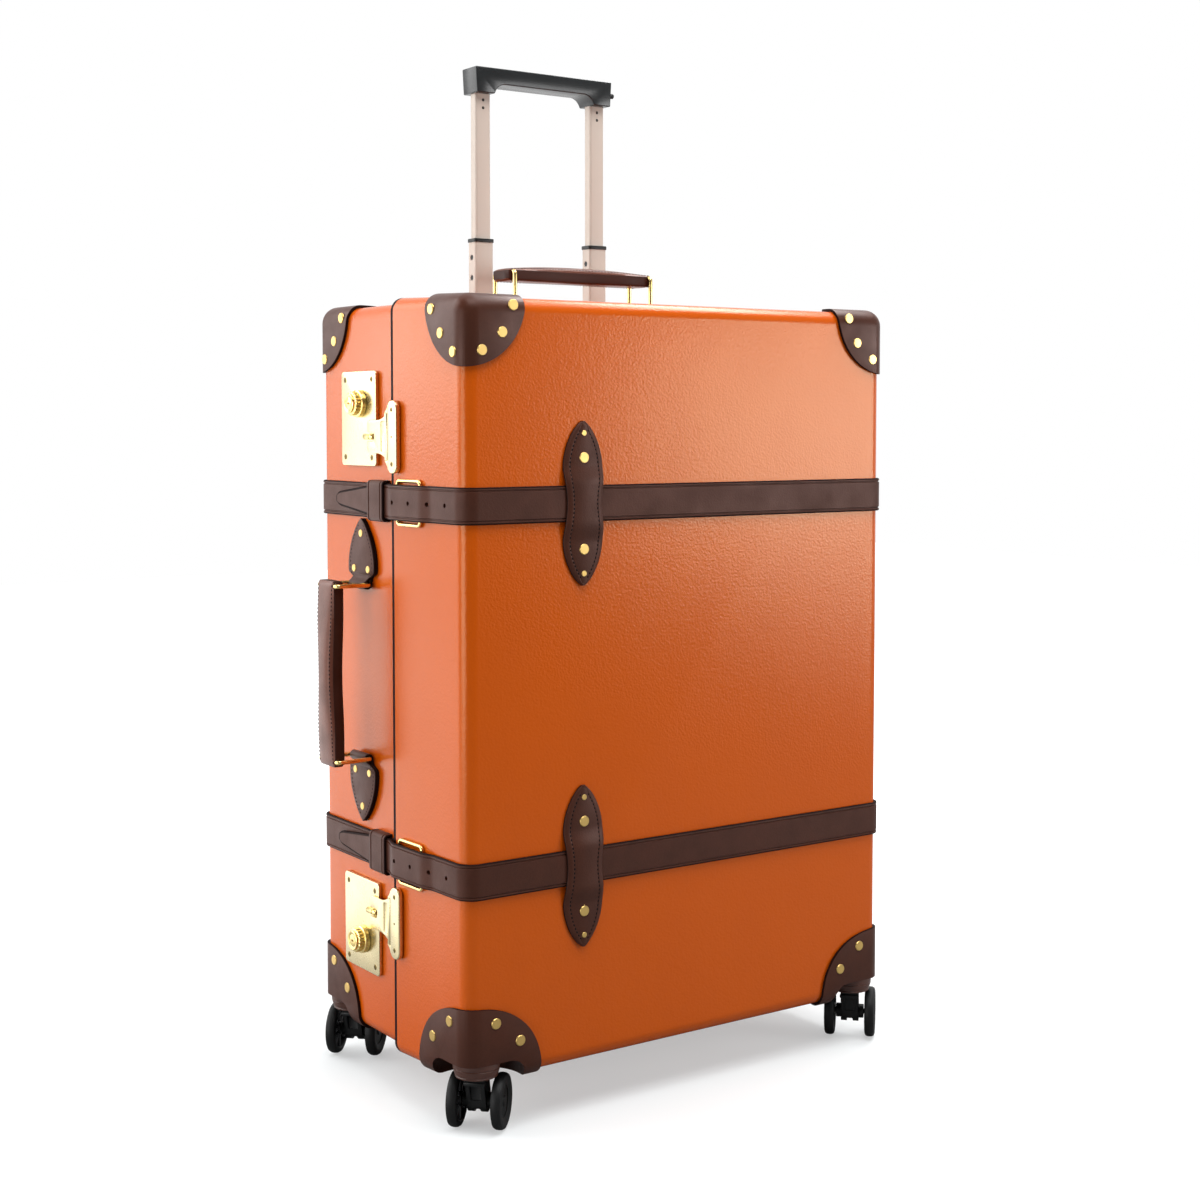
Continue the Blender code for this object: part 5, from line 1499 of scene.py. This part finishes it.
def make_tab(name, node_name, place, end, eye):
    """Shield-shaped tab folded round its ring; returns its rows of stitches and its rivets."""
    handle = settings().handle
    half_leather = TAB_LEATHER / 2
    wrap = handle.ring_wire + RING_PLAY + half_leather
    lower = SEAT + half_leather
    upper = lower + TAB_LEATHER
    flat = leather_section(TAB_LEATHER, TAB_SEAM, 0.0005)
    steps = tab_steps()
    path = [(d, lower + (RING_AXIS - wrap - lower) * (1.0 - smooth(d / 0.008)))
            for d in reversed(steps)]
    halves = [tab_half(d) for d in reversed(steps)]
    for i in range(1, 12):
        angle = math.radians(-90 - 180 * i / 12)
        path.append((wrap * math.cos(angle), RING_AXIS + wrap * math.sin(angle)))
        halves.append(handle.tab_neck / 2)
    top = [(d, upper + (RING_AXIS + wrap - upper) * (1.0 - smooth(d / 0.0075))) for d in steps]
    path += top
    halves += [tab_half(d) for d in steps]
    points = [(eye + end * x, 0.0, z) for x, z in path]
    stations = stations_along(points, halves, (0, 1, 0), -1.0 * end)
    tab = sweep(stations, lambda half: [(a, h - half_leather) for a, h in flat(half)], STRAP_EDGES)
    finish_piece(name, tab, "base", ["leather", "edge"], [node_name], place)
    rows = []
    for edge in (-1, 1):
        row = []
        for distance, z in top:
            half = tab_half(distance)
            if half > 0.009 and distance > 0.006:
                row.append(place @ Vector((eye + end * distance, edge * (half - TAB_SEAM),
                                           z + half_leather - 0.0002)))
        rows.append(row)
    outward = place.to_3x3() @ Vector((0, 0, 1))
    seats = []
    for distance, across in ((handle.tab_length - 0.015, 0.0), (0.0150, -0.0150), (0.0150, 0.0150)):
        point = place @ Vector((eye + end * distance, across, upper + half_leather))
        seats.append((point, outward))
    return rows, seats


def make_carry_handle(prefix, place, ends, bodies):
    """Tabs, rings and a grip in a frame whose X runs along the grip and Z out of the case."""
    handle = settings().handle
    middles = [sum(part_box(prefix + "_ring_" + end), Vector()) / 2 for end in ends]
    span = (middles[1] - middles[0]).length
    rows = []
    seats = []
    for end, end_name in zip((-1, 1), ends):
        eye = end * span / 2
        more_rows, more_seats = make_tab(prefix + "_shield_" + end_name,
                                         prefix + "_tab_" + end_name, place, end, eye)
        rows += more_rows
        seats += more_seats
        ring = [(0.0, a, b + handle.ring_length / 2) for a, b in
                rounded_outline(handle.ring_width, handle.ring_length, 0.003)]
        finish_piece(prefix + "_wire_" + end_name, wire_loop(ring, handle.ring_wire, 16),
                     bodies[end_name], ["brass"], [prefix + "_ring_" + end_name],
                     place @ Matrix.Translation((eye, 0.0, RING_AXIS)))
    sew(prefix + "_shield_stitches", rows, "base", 0.0012)
    set_fasteners(prefix + "_shield_rivets", seats, rivet_head(), 0.0039, "rivet", "base")
    make_grip(prefix, place, span, RING_AXIS + handle.ring_length, bodies["grip"])


def make_grip(prefix, place, span, level, body):
    handle = settings().handle
    reach = span / 2 + 0.005
    shares = [-1.0 + 2.0 * i / 80 for i in range(81)]
    stations = []
    for share in shares:
        close = smooth((1.0 - abs(share)) / 0.03)
        size = (grip_half(share) - 0.0016 * (1.0 - close), grip_crown(share) * (0.3 + 0.7 * close))
        stations.append((Vector((reach * share, 0.0, level)), Vector((0, 1, 0)),
                         Vector((0, 0, 0.80 + 0.20 * close)), size))
    grip = sweep(stations, grip_section, GRIP_EDGES)
    for end in (-1, 1):
        bore = rod(handle.ring_wire + RING_PLAY, 0.08, (end * span / 2, 0, level), "Y", 24)
        grip = carve(grip, bore)
    piece = finish_piece(prefix + "_hand_grip", grip, body, ["padded", "band"],
                         [prefix + "_grip"], place, 50.0)
    low = GRIP_SEAM - handle.grip_thickness
    rows = []
    for edge in (-1, 1):
        upper = []
        under = []
        for share in shares[2:-2]:
            half = grip_half(share)
            rise = GRIP_SEAM + 0.52 * grip_crown(share)
            x = reach * share
            upper.append(place @ Vector((x, edge * 0.9 * (half - 0.0006), level + rise)))
            under.append(place @ Vector((x, edge * (half - 0.0032), level + low - 0.0002)))
        rows += [upper, under]
    sew(prefix + "_grip_stitches", rows, body, 0.0011)


def make_carry_handles():
    middle = middle_of("side_handle_grip")
    side = Matrix.Translation((-HALF, middle.y, middle.z))
    side = side @ Matrix.Rotation(math.radians(-90), 4, "Y")
    make_carry_handle("side_handle", side, ("lower", "upper"), {
        "lower": "side_ring_lower", "upper": "side_ring_upper", "grip": "side_grip"})
    middle = middle_of("top_handle_grip")
    top = Matrix.Translation((middle.x, middle.y, HEIGHT))
    make_carry_handle("top_handle", top, SIDES, {
        "lock": "top_ring_lock", "hinge": "top_ring_hinge", "grip": "top_grip"})


# Trolley. Sizes of tubes and sleeves are half sizes across and along the case's depth.

SLEEVE = (0.0135, 0.0100)
SLEEVE_BORE = (0.0119, 0.0084)
FLANGE = (0.0170, 0.0135)
OUTER_TUBE = (0.0115, 0.0080)
OUTER_BORE = (0.0099, 0.0064)
COLLAR = (0.0124, 0.0089)
INNER_TUBE = (0.0095, 0.0060)
INNER_BORE = (0.0083, 0.0048)
TUBE_ROUND = 0.0025
BORE_ROUND = 0.0020
PAST = 0.1  # how far a bore's tool runs past its tube


def make_tubes(label, lower_top):
    """Outer tube with its button holes and collar, and inner tube; returns the plugs' seats."""
    collar_height = 0.0040
    name = "trolley_lower_tube_" + label
    low = box_of(name)[0]
    middle = middle_of(name)
    tube = post(name, OUTER_TUBE, low.z, lower_top - collar_height, TUBE_ROUND)
    tube = carve(tube, post(name, OUTER_BORE, low.z - PAST, lower_top + PAST, BORE_ROUND))
    plugs = []
    for drop in (0.0205, 0.0425):
        z = lower_top - drop
        tube = carve(tube, rod(0.0032, 0.008, (middle.x - OUTER_TUBE[0], middle.y, z), "X"))
        plugs.append(((middle.x - 0.0105, middle.y, z), (-1, 0, 0)))
    finish_piece("trolley_outer_tube_" + label, tube, "trolley_lower", ["tube"], [name])
    collar = post(name, COLLAR, lower_top - collar_height, lower_top, 0.0030)
    collar = carve(collar, post(name, OUTER_BORE, 0.0, lower_top + PAST, BORE_ROUND))
    finish_piece("trolley_tube_collar_" + label, eased(collar, 0.0005, 2, 60), "trolley_lower",
                 ["castor"])
    name = "trolley_upper_tube_" + label
    low, high = box_of(name)
    tube = post(name, INNER_TUBE, low.z, high.z, TUBE_ROUND)
    tube = carve(tube, post(name, INNER_BORE, low.z - PAST, high.z + PAST, 0.0015))
    finish_piece("trolley_inner_tube_" + label, tube, "trolley_upper", ["tube"], [name])
    return plugs


def make_trolley():
    grip_low, grip_high = box_of("trolley_grip")
    lower_top = box_of("trolley_lower_tube_lock")[1].z
    low, high = box_of("trolley_housing")
    inset = 0.0035
    over = HEIGHT + 0.05
    housing = block((low.x + inset, low.y + inset, low.z),
                    (high.x - inset, (low.y + high.y) / 2, 0.019), 0.0006, 2)
    flanges = []
    screws = []
    plugs = []
    for label in SIDES:
        name = "trolley_lower_tube_" + label
        sleeve = post(name, SLEEVE, 0.014, HEIGHT + 0.0026, TUBE_ROUND)
        housing = carve(housing, sleeve, "UNION")
        flange = post(name, FLANGE, HEIGHT - 0.014, high.z, 0.0040)
        flange = carve(flange, case_form(SEAT))
        flange = carve(flange, post(name, SLEEVE_BORE, 0.0, over, TUBE_ROUND))
        flanges.append(eased(flange, 0.0005, 2, 50))
        housing = carve(housing, post(name, SLEEVE_BORE, 0.024, over, TUBE_ROUND))
        plugs += make_tubes(label, lower_top)
        middle = middle_of(name)
        for drop in (0.0065, 0.0150):
            point = (middle.x, middle.y - INNER_TUBE[1], grip_low.z - drop)
            screws.append((point, (0, -1, 0)))
    finish_piece("trolley_sleeves", housing, "base", ["sleeve"], ["trolley_housing"])
    finish_piece("trolley_flanges", merged(*flanges), "base", ["grip"])
    set_fasteners("trolley_screws", screws, screw_head(), 0.0016, "castor", "trolley_upper")
    set_fasteners("trolley_tube_plugs", plugs, rivet_head(), 0.0031, "castor", "trolley_lower")
    make_trolley_grip(grip_low, grip_high)


def make_trolley_grip(low, high):
    """Moulded grip with square ends and a hollow sweep under each end, and its push button."""
    half = (high.x - low.x) / 2
    bar = high.z - 0.017
    foot = half - 0.024
    inner = foot - 0.012
    taper = 0.0016
    hollow = []
    for i in range(9):
        t = i / 8
        x = (1 - t) ** 2 * foot + 2 * t * (1 - t) * (foot - 0.003) + t * t * inner
        z = (1 - t) ** 2 * low.z + 2 * t * (1 - t) * (bar - 0.0015) + t * t * bar
        hollow.append((x, z))
    outline = [(half - taper, low.z), (half, high.z), (-half, high.z), (-half + taper, low.z)]
    outline += [(-x, z) for x, z in hollow] + hollow[::-1]
    grip = eased(prism(outline, "Y", low.y, high.y), 0.0012, 3, 35)
    for label in SIDES:
        grip = carve(grip, post("trolley_upper_tube_" + label, OUTER_BORE, low.z - 0.02,
                                low.z + 0.0085, TUBE_ROUND))
    press_low, press_high = box_of("trolley_button")
    middle = (press_low + press_high) / 2
    grip = carve(grip, rod(0.0034, 0.016, (half, middle.y, middle.z), "X"))
    finish_piece("trolley_hand_grip", grip, "trolley_upper", ["grip"],
                 ["trolley_grip"])
    press = turned([(0.0, press_high.x), (0.0022, press_high.x), (0.0029, press_high.x - 0.0008),
                    (0.0030, press_low.x), (0.0, press_low.x)], 32)
    press.transform(Matrix.Translation((0, middle.y, middle.z)) @ AXIS_TURN["X"])
    finish_piece("trolley_push_button", press, "trolley_button", ["castor"],
                 ["trolley_button"])


# Hinge


def make_hinge():
    """Two leaves with five knuckles in turn, their pin and their screws."""
    rim = rim_y()
    low, high = box_of("hinge_leaf_base")
    knuckles = 5
    pitch = (high.z - low.z) / knuckles
    barrel_radius, leaf, leaf_width, clear = 0.0032, 0.0015, 0.024, 0.0038
    screw_inset, gap = 0.014, 0.0003
    wall = HALF + SEAT
    lid_wall = lid_x(rim) + SEAT
    axis_x = lid_wall + barrel_radius
    base = [block((wall, rim + clear, low.z), (wall + leaf, rim + clear + leaf_width, high.z),
                  0.0005, 2)]
    near, far = rim - clear - leaf_width, rim - clear
    outline = [(lid_x(near) + SEAT, near), (lid_x(near) + SEAT + leaf, near),
               (lid_x(far) + SEAT + leaf, far), (lid_x(far) + SEAT, far)]
    lid = [eased(prism(outline, "Z", low.z, high.z), 0.0004)]
    screws = {"base": [], "lid": []}
    for i in range(knuckles):
        bottom = low.z + i * pitch + gap
        top = low.z + (i + 1) * pitch - gap
        height = (bottom + top) / 2
        barrel = eased(rod(barrel_radius, top - bottom, (axis_x, rim, height), "Z"), 0.0004)
        barrel = carve(barrel, rod(0.0018, 1.0, (axis_x, rim, MID), "Z"))
        if i % 2 == 0:
            base += [barrel, block((wall, rim + 0.0015, bottom),
                                   (axis_x, rim + clear + 0.0012, top), 0.0003, 1)]
        else:
            lid += [barrel, block((lid_wall, rim - clear - 0.001, bottom),
                                  (lid_wall + leaf, rim - 0.0008, top), 0.0003, 1)]
        screws["base"].append(((wall + leaf, rim + clear + screw_inset, height), (1, 0, 0)))
        y = rim - clear - screw_inset
        screws["lid"].append(((lid_x(y) + SEAT + leaf, y, height), (1, 0, 0)))
    finish_piece("hinge_base_leaf", merged(*base), "base", ["brass"], ["hinge_leaf_base"])
    finish_piece("hinge_lid_leaf", merged(*lid), "lid", ["brass"], ["hinge_leaf_lid"])
    pin = turned([(0.0, high.z + 0.0015), (0.0010, high.z + 0.0015), (0.0015, high.z + 0.0010),
                  (0.0015, low.z - 0.0010), (0.0010, low.z - 0.0015), (0.0, low.z - 0.0015)], 24)
    finish_piece("hinge_rod", moved(pin, (axis_x, rim, 0)), "base", ["brass"],
                 ["hinge_pin"])
    for half, seats in screws.items():
        set_fasteners("hinge_screws_" + half, seats, screw_head(), 0.0026, "brass", half)


# Stage

CAMERA_PLACE = Vector((-1.13095, -1.62955, 0.62560))
FLOOR_SIZE = 6.0
# Each lamp's name, which is also its power's, its place, what it is aimed at, and its size.
LAMPS = (
    ("key", (-1.9, 1.5, 1.7), (0.0, 0.0, 0.4), (2.4, 2.2)),
    ("side", (-1.50, 1.70, 0.50), (-0.2, 0.0, 0.35), (1.6, 0.9)),
    ("front", (-0.2, -0.95, 2.25), (0.0, -0.1, 0.4), (1.4, 1.0)),
    ("fill", (-2.4, -0.35, 0.55), (-0.25, 0.0, 0.25), (1.2, 0.9)),
    ("top", (0.0, 0.0, 3.0), (0.0, 0.0, 0.0), (2.5, 2.5)),
    ("sheen", (1.75, -1.78, 0.82), (0.0, -0.15, 0.6), (1.2, 0.65)),
    ("glint", (1.86, -1.62, 0.38), (0.0, -0.15, 0.4), (0.5, 0.4)),
    ("rim", (1.4, 0.1, 2.6), (0.0, 0.0, 0.75), (1.6, 0.5)),
)


def make_camera():
    stage = settings().stage
    camera = bpy.data.cameras.new("camera")
    camera.lens = stage.lens
    camera.sensor_width = 36.0
    camera.shift_x = -0.0017
    camera.shift_y = -0.065
    camera.clip_end = 50.0
    holder = added("camera", camera)
    holder.location = ORIGIN + CAMERA_PLACE
    holder.rotation_euler = (math.radians(90) + stage.pitch, 0.0, -stage.yaw)
    bpy.context.scene.camera = holder


def floor_finish():
    """Pale floor that keeps its shadow and goes to white away from the case.

    It glows only for the camera and for glossy rays from where the lock side mirrors it; the glossy
    glow paints a reflection of bright floor on the lock side."""
    stage = settings().stage
    material, tree, shader = start_material("pale_floor", 0.7)
    place = object_coords(tree)
    away = node(tree, "ShaderNodeVectorMath", {0: place}, operation="LENGTH").outputs["Value"]
    path = node(tree, "ShaderNodeLightPath").outputs
    behind = ranged(tree, along(tree, place, MIRRORED), 0.0, 1.0, 0.3, 0.8)
    mirrored_glow = reckoned(tree, "MULTIPLY", behind, path["Is Glossy Ray"])
    seen = reckoned(tree, "MAXIMUM", path["Is Camera Ray"], mirrored_glow)
    glow_strength = reckoned(tree, "MULTIPLY", ranged(tree, away, 0.43, 1.0, 0.5, 1.05), seen)
    plug(tree, shader, {"Base Color": mixed(tree, seen, stage.bounce, stage.floor),
                        "Specular IOR Level": 0.2})
    glow = node(tree, "ShaderNodeEmission", {"Color": WHITE, "Strength": glow_strength})
    both = node(tree, "ShaderNodeAddShader", {0: shader.outputs[0], 1: glow.outputs[0]})
    tree.links.new(both.outputs[0], tree.nodes["Material Output"].inputs["Surface"])
    return material


def make_floor():
    bm = bmesh.new()
    bmesh.ops.create_grid(bm, x_segments=1, y_segments=1, size=FLOOR_SIZE)
    mesh = mesh_of("floor", bm)
    mesh.materials.append(floor_finish())
    added("floor", mesh)


def make_world():
    """White surroundings for the camera; as light, a backdrop behind the case."""
    world = bpy.data.worlds.new("surroundings")
    bpy.context.scene.world = world
    world.use_nodes = True
    tree = world.node_tree
    direction = node(tree, "ShaderNodeTexCoord").outputs["Generated"]
    ambient = settings().stage.ambient
    backdrop = ranged(tree, along(tree, direction, AWAY), ambient, 1.0, -0.2, 0.7)
    seen = node(tree, "ShaderNodeLightPath").outputs["Is Camera Ray"]
    plug(tree, tree.nodes["Background"], {
        "Color": WHITE, "Strength": reckoned(tree, "MAXIMUM", backdrop, seen)})


def make_lamps():
    for name, place, aim, size in LAMPS:
        light = bpy.data.lights.new(name + "_lamp", "AREA")
        light.shape = "RECTANGLE"
        light.size, light.size_y = size
        light.energy = getattr(settings().stage, name)
        holder = added(name + "_lamp", light)
        holder.location = place
        direction = Vector(aim) - Vector(place)
        holder.rotation_euler = direction.to_track_quat("-Z", "Y").to_euler()


def make_stage():
    bpy.context.scene.view_settings.view_transform = "Standard"
    make_camera()
    make_floor()
    make_world()
    make_lamps()


# Operators and panel


class SUITCASE_OT_stage(bpy.types.Operator):
    """Places the camera, the floor and the lamps"""
    bl_idname = "suitcase.stage"
    bl_label = "Set Stage"
    bl_options = {"REGISTER", "UNDO"}

    def execute(self, context):
        make_stage()
        return {"FINISHED"}


class SUITCASE_OT_shells(bpy.types.Operator):
    """Builds the lacquered lid and base"""
    bl_idname = "suitcase.shells"
    bl_label = "Build Shells"
    bl_options = {"REGISTER", "UNDO"}

    def execute(self, context):
        make_shells()
        return {"FINISHED"}


class SUITCASE_OT_linings(bpy.types.Operator):
    """Builds the cloth lining of both halves"""
    bl_idname = "suitcase.linings"
    bl_label = "Build Linings"
    bl_options = {"REGISTER", "UNDO"}

    def execute(self, context):
        make_linings()
        return {"FINISHED"}


class SUITCASE_OT_top_corners(bpy.types.Operator):
    """Moulds the leather top corners"""
    bl_idname = "suitcase.top_corners"
    bl_label = "Build Top Corners"
    bl_options = {"REGISTER", "UNDO"}

    def execute(self, context):
        make_top_corners()
        return {"FINISHED"}


class SUITCASE_OT_foot_corners(bpy.types.Operator):
    """Moulds the bottom corners with their castor wells"""
    bl_idname = "suitcase.foot_corners"
    bl_label = "Build Foot Corners"
    bl_options = {"REGISTER", "UNDO"}

    def execute(self, context):
        make_foot_corners()
        return {"FINISHED"}


class SUITCASE_OT_corner_rivets(bpy.types.Operator):
    """Sets the rivets of the leather corners"""
    bl_idname = "suitcase.corner_rivets"
    bl_label = "Set Corner Rivets"
    bl_options = {"REGISTER", "UNDO"}

    def execute(self, context):
        make_corner_rivets()
        return {"FINISHED"}


class SUITCASE_OT_castors(bpy.types.Operator):
    """Builds the forks, wheels and hubs"""
    bl_idname = "suitcase.castors"
    bl_label = "Build Castors"
    bl_options = {"REGISTER", "UNDO"}

    def execute(self, context):
        make_castors()
        return {"FINISHED"}


class SUITCASE_OT_straps(bpy.types.Operator):
    """Builds both straps of the base and the lid"""
    bl_idname = "suitcase.straps"
    bl_label = "Build Straps"
    bl_options = {"REGISTER", "UNDO"}

    def execute(self, context):
        make_straps()
        return {"FINISHED"}


class SUITCASE_OT_keepers(bpy.types.Operator):
    """Builds the strap keepers and buckles"""
    bl_idname = "suitcase.keepers"
    bl_label = "Build Keepers"
    bl_options = {"REGISTER", "UNDO"}

    def execute(self, context):
        make_keepers_and_buckles()
        return {"FINISHED"}


class SUITCASE_OT_loops(bpy.types.Operator):
    """Builds the stitched strap loops with their rivets"""
    bl_idname = "suitcase.loops"
    bl_label = "Build Strap Loops"
    bl_options = {"REGISTER", "UNDO"}

    def execute(self, context):
        make_strap_loops()
        return {"FINISHED"}


class SUITCASE_OT_locks(bpy.types.Operator):
    """Builds lock plates, knobs, hasps and hinge bars"""
    bl_idname = "suitcase.locks"
    bl_label = "Build Locks"
    bl_options = {"REGISTER", "UNDO"}

    def execute(self, context):
        make_locks()
        return {"FINISHED"}


class SUITCASE_OT_handles(bpy.types.Operator):
    """Builds tabs, rings and padded grips"""
    bl_idname = "suitcase.handles"
    bl_label = "Build Carry Handles"
    bl_options = {"REGISTER", "UNDO"}

    def execute(self, context):
        make_carry_handles()
        return {"FINISHED"}


class SUITCASE_OT_trolley(bpy.types.Operator):
    """Builds the telescopic handle"""
    bl_idname = "suitcase.trolley"
    bl_label = "Build Trolley"
    bl_options = {"REGISTER", "UNDO"}

    def execute(self, context):
        make_trolley()
        return {"FINISHED"}


class SUITCASE_OT_hinge(bpy.types.Operator):
    """Builds the knuckled hinge"""
    bl_idname = "suitcase.hinge"
    bl_label = "Build Hinge"
    bl_options = {"REGISTER", "UNDO"}

    def execute(self, context):
        make_hinge()
        return {"FINISHED"}


class SUITCASE_PT_panel(bpy.types.Panel):
    """Lists the builders and the main sizes"""
    bl_label = "Suitcase"
    bl_idname = "SUITCASE_PT_panel"
    bl_space_type = "VIEW_3D"
    bl_region_type = "UI"
    bl_category = "Suitcase"

    def draw(self, context):
        for name in SuitcaseSettings.__annotations__:
            group = getattr(context.scene.suitcase, name)
            box = self.layout.box()
            for value in group.__annotations__:
                box.prop(group, value)
        for made in OPERATORS:
            self.layout.operator(made.bl_idname)


GROUPS = (CaseSizes, TrimSizes, CastorSizes, HandleSizes, FinishColours, StageSettings,
          SuitcaseSettings)
OPERATORS = (SUITCASE_OT_stage, SUITCASE_OT_shells, SUITCASE_OT_linings, SUITCASE_OT_top_corners,
             SUITCASE_OT_foot_corners, SUITCASE_OT_corner_rivets, SUITCASE_OT_castors,
             SUITCASE_OT_straps, SUITCASE_OT_keepers, SUITCASE_OT_loops, SUITCASE_OT_locks,
             SUITCASE_OT_handles, SUITCASE_OT_trolley, SUITCASE_OT_hinge)
CLASSES = GROUPS + OPERATORS + (SUITCASE_PT_panel,)


def register():
    for made in CLASSES:
        bpy.utils.register_class(made)
    bpy.types.Scene.suitcase = PointerProperty(type=SuitcaseSettings)


def unregister():
    del bpy.types.Scene.suitcase
    for made in reversed(CLASSES):
        bpy.utils.unregister_class(made)


def main():
    register()
    for made in OPERATORS:
        getattr(bpy.ops.suitcase, made.bl_idname.split(".")[1])()


if __name__ == "__main__":
    main()
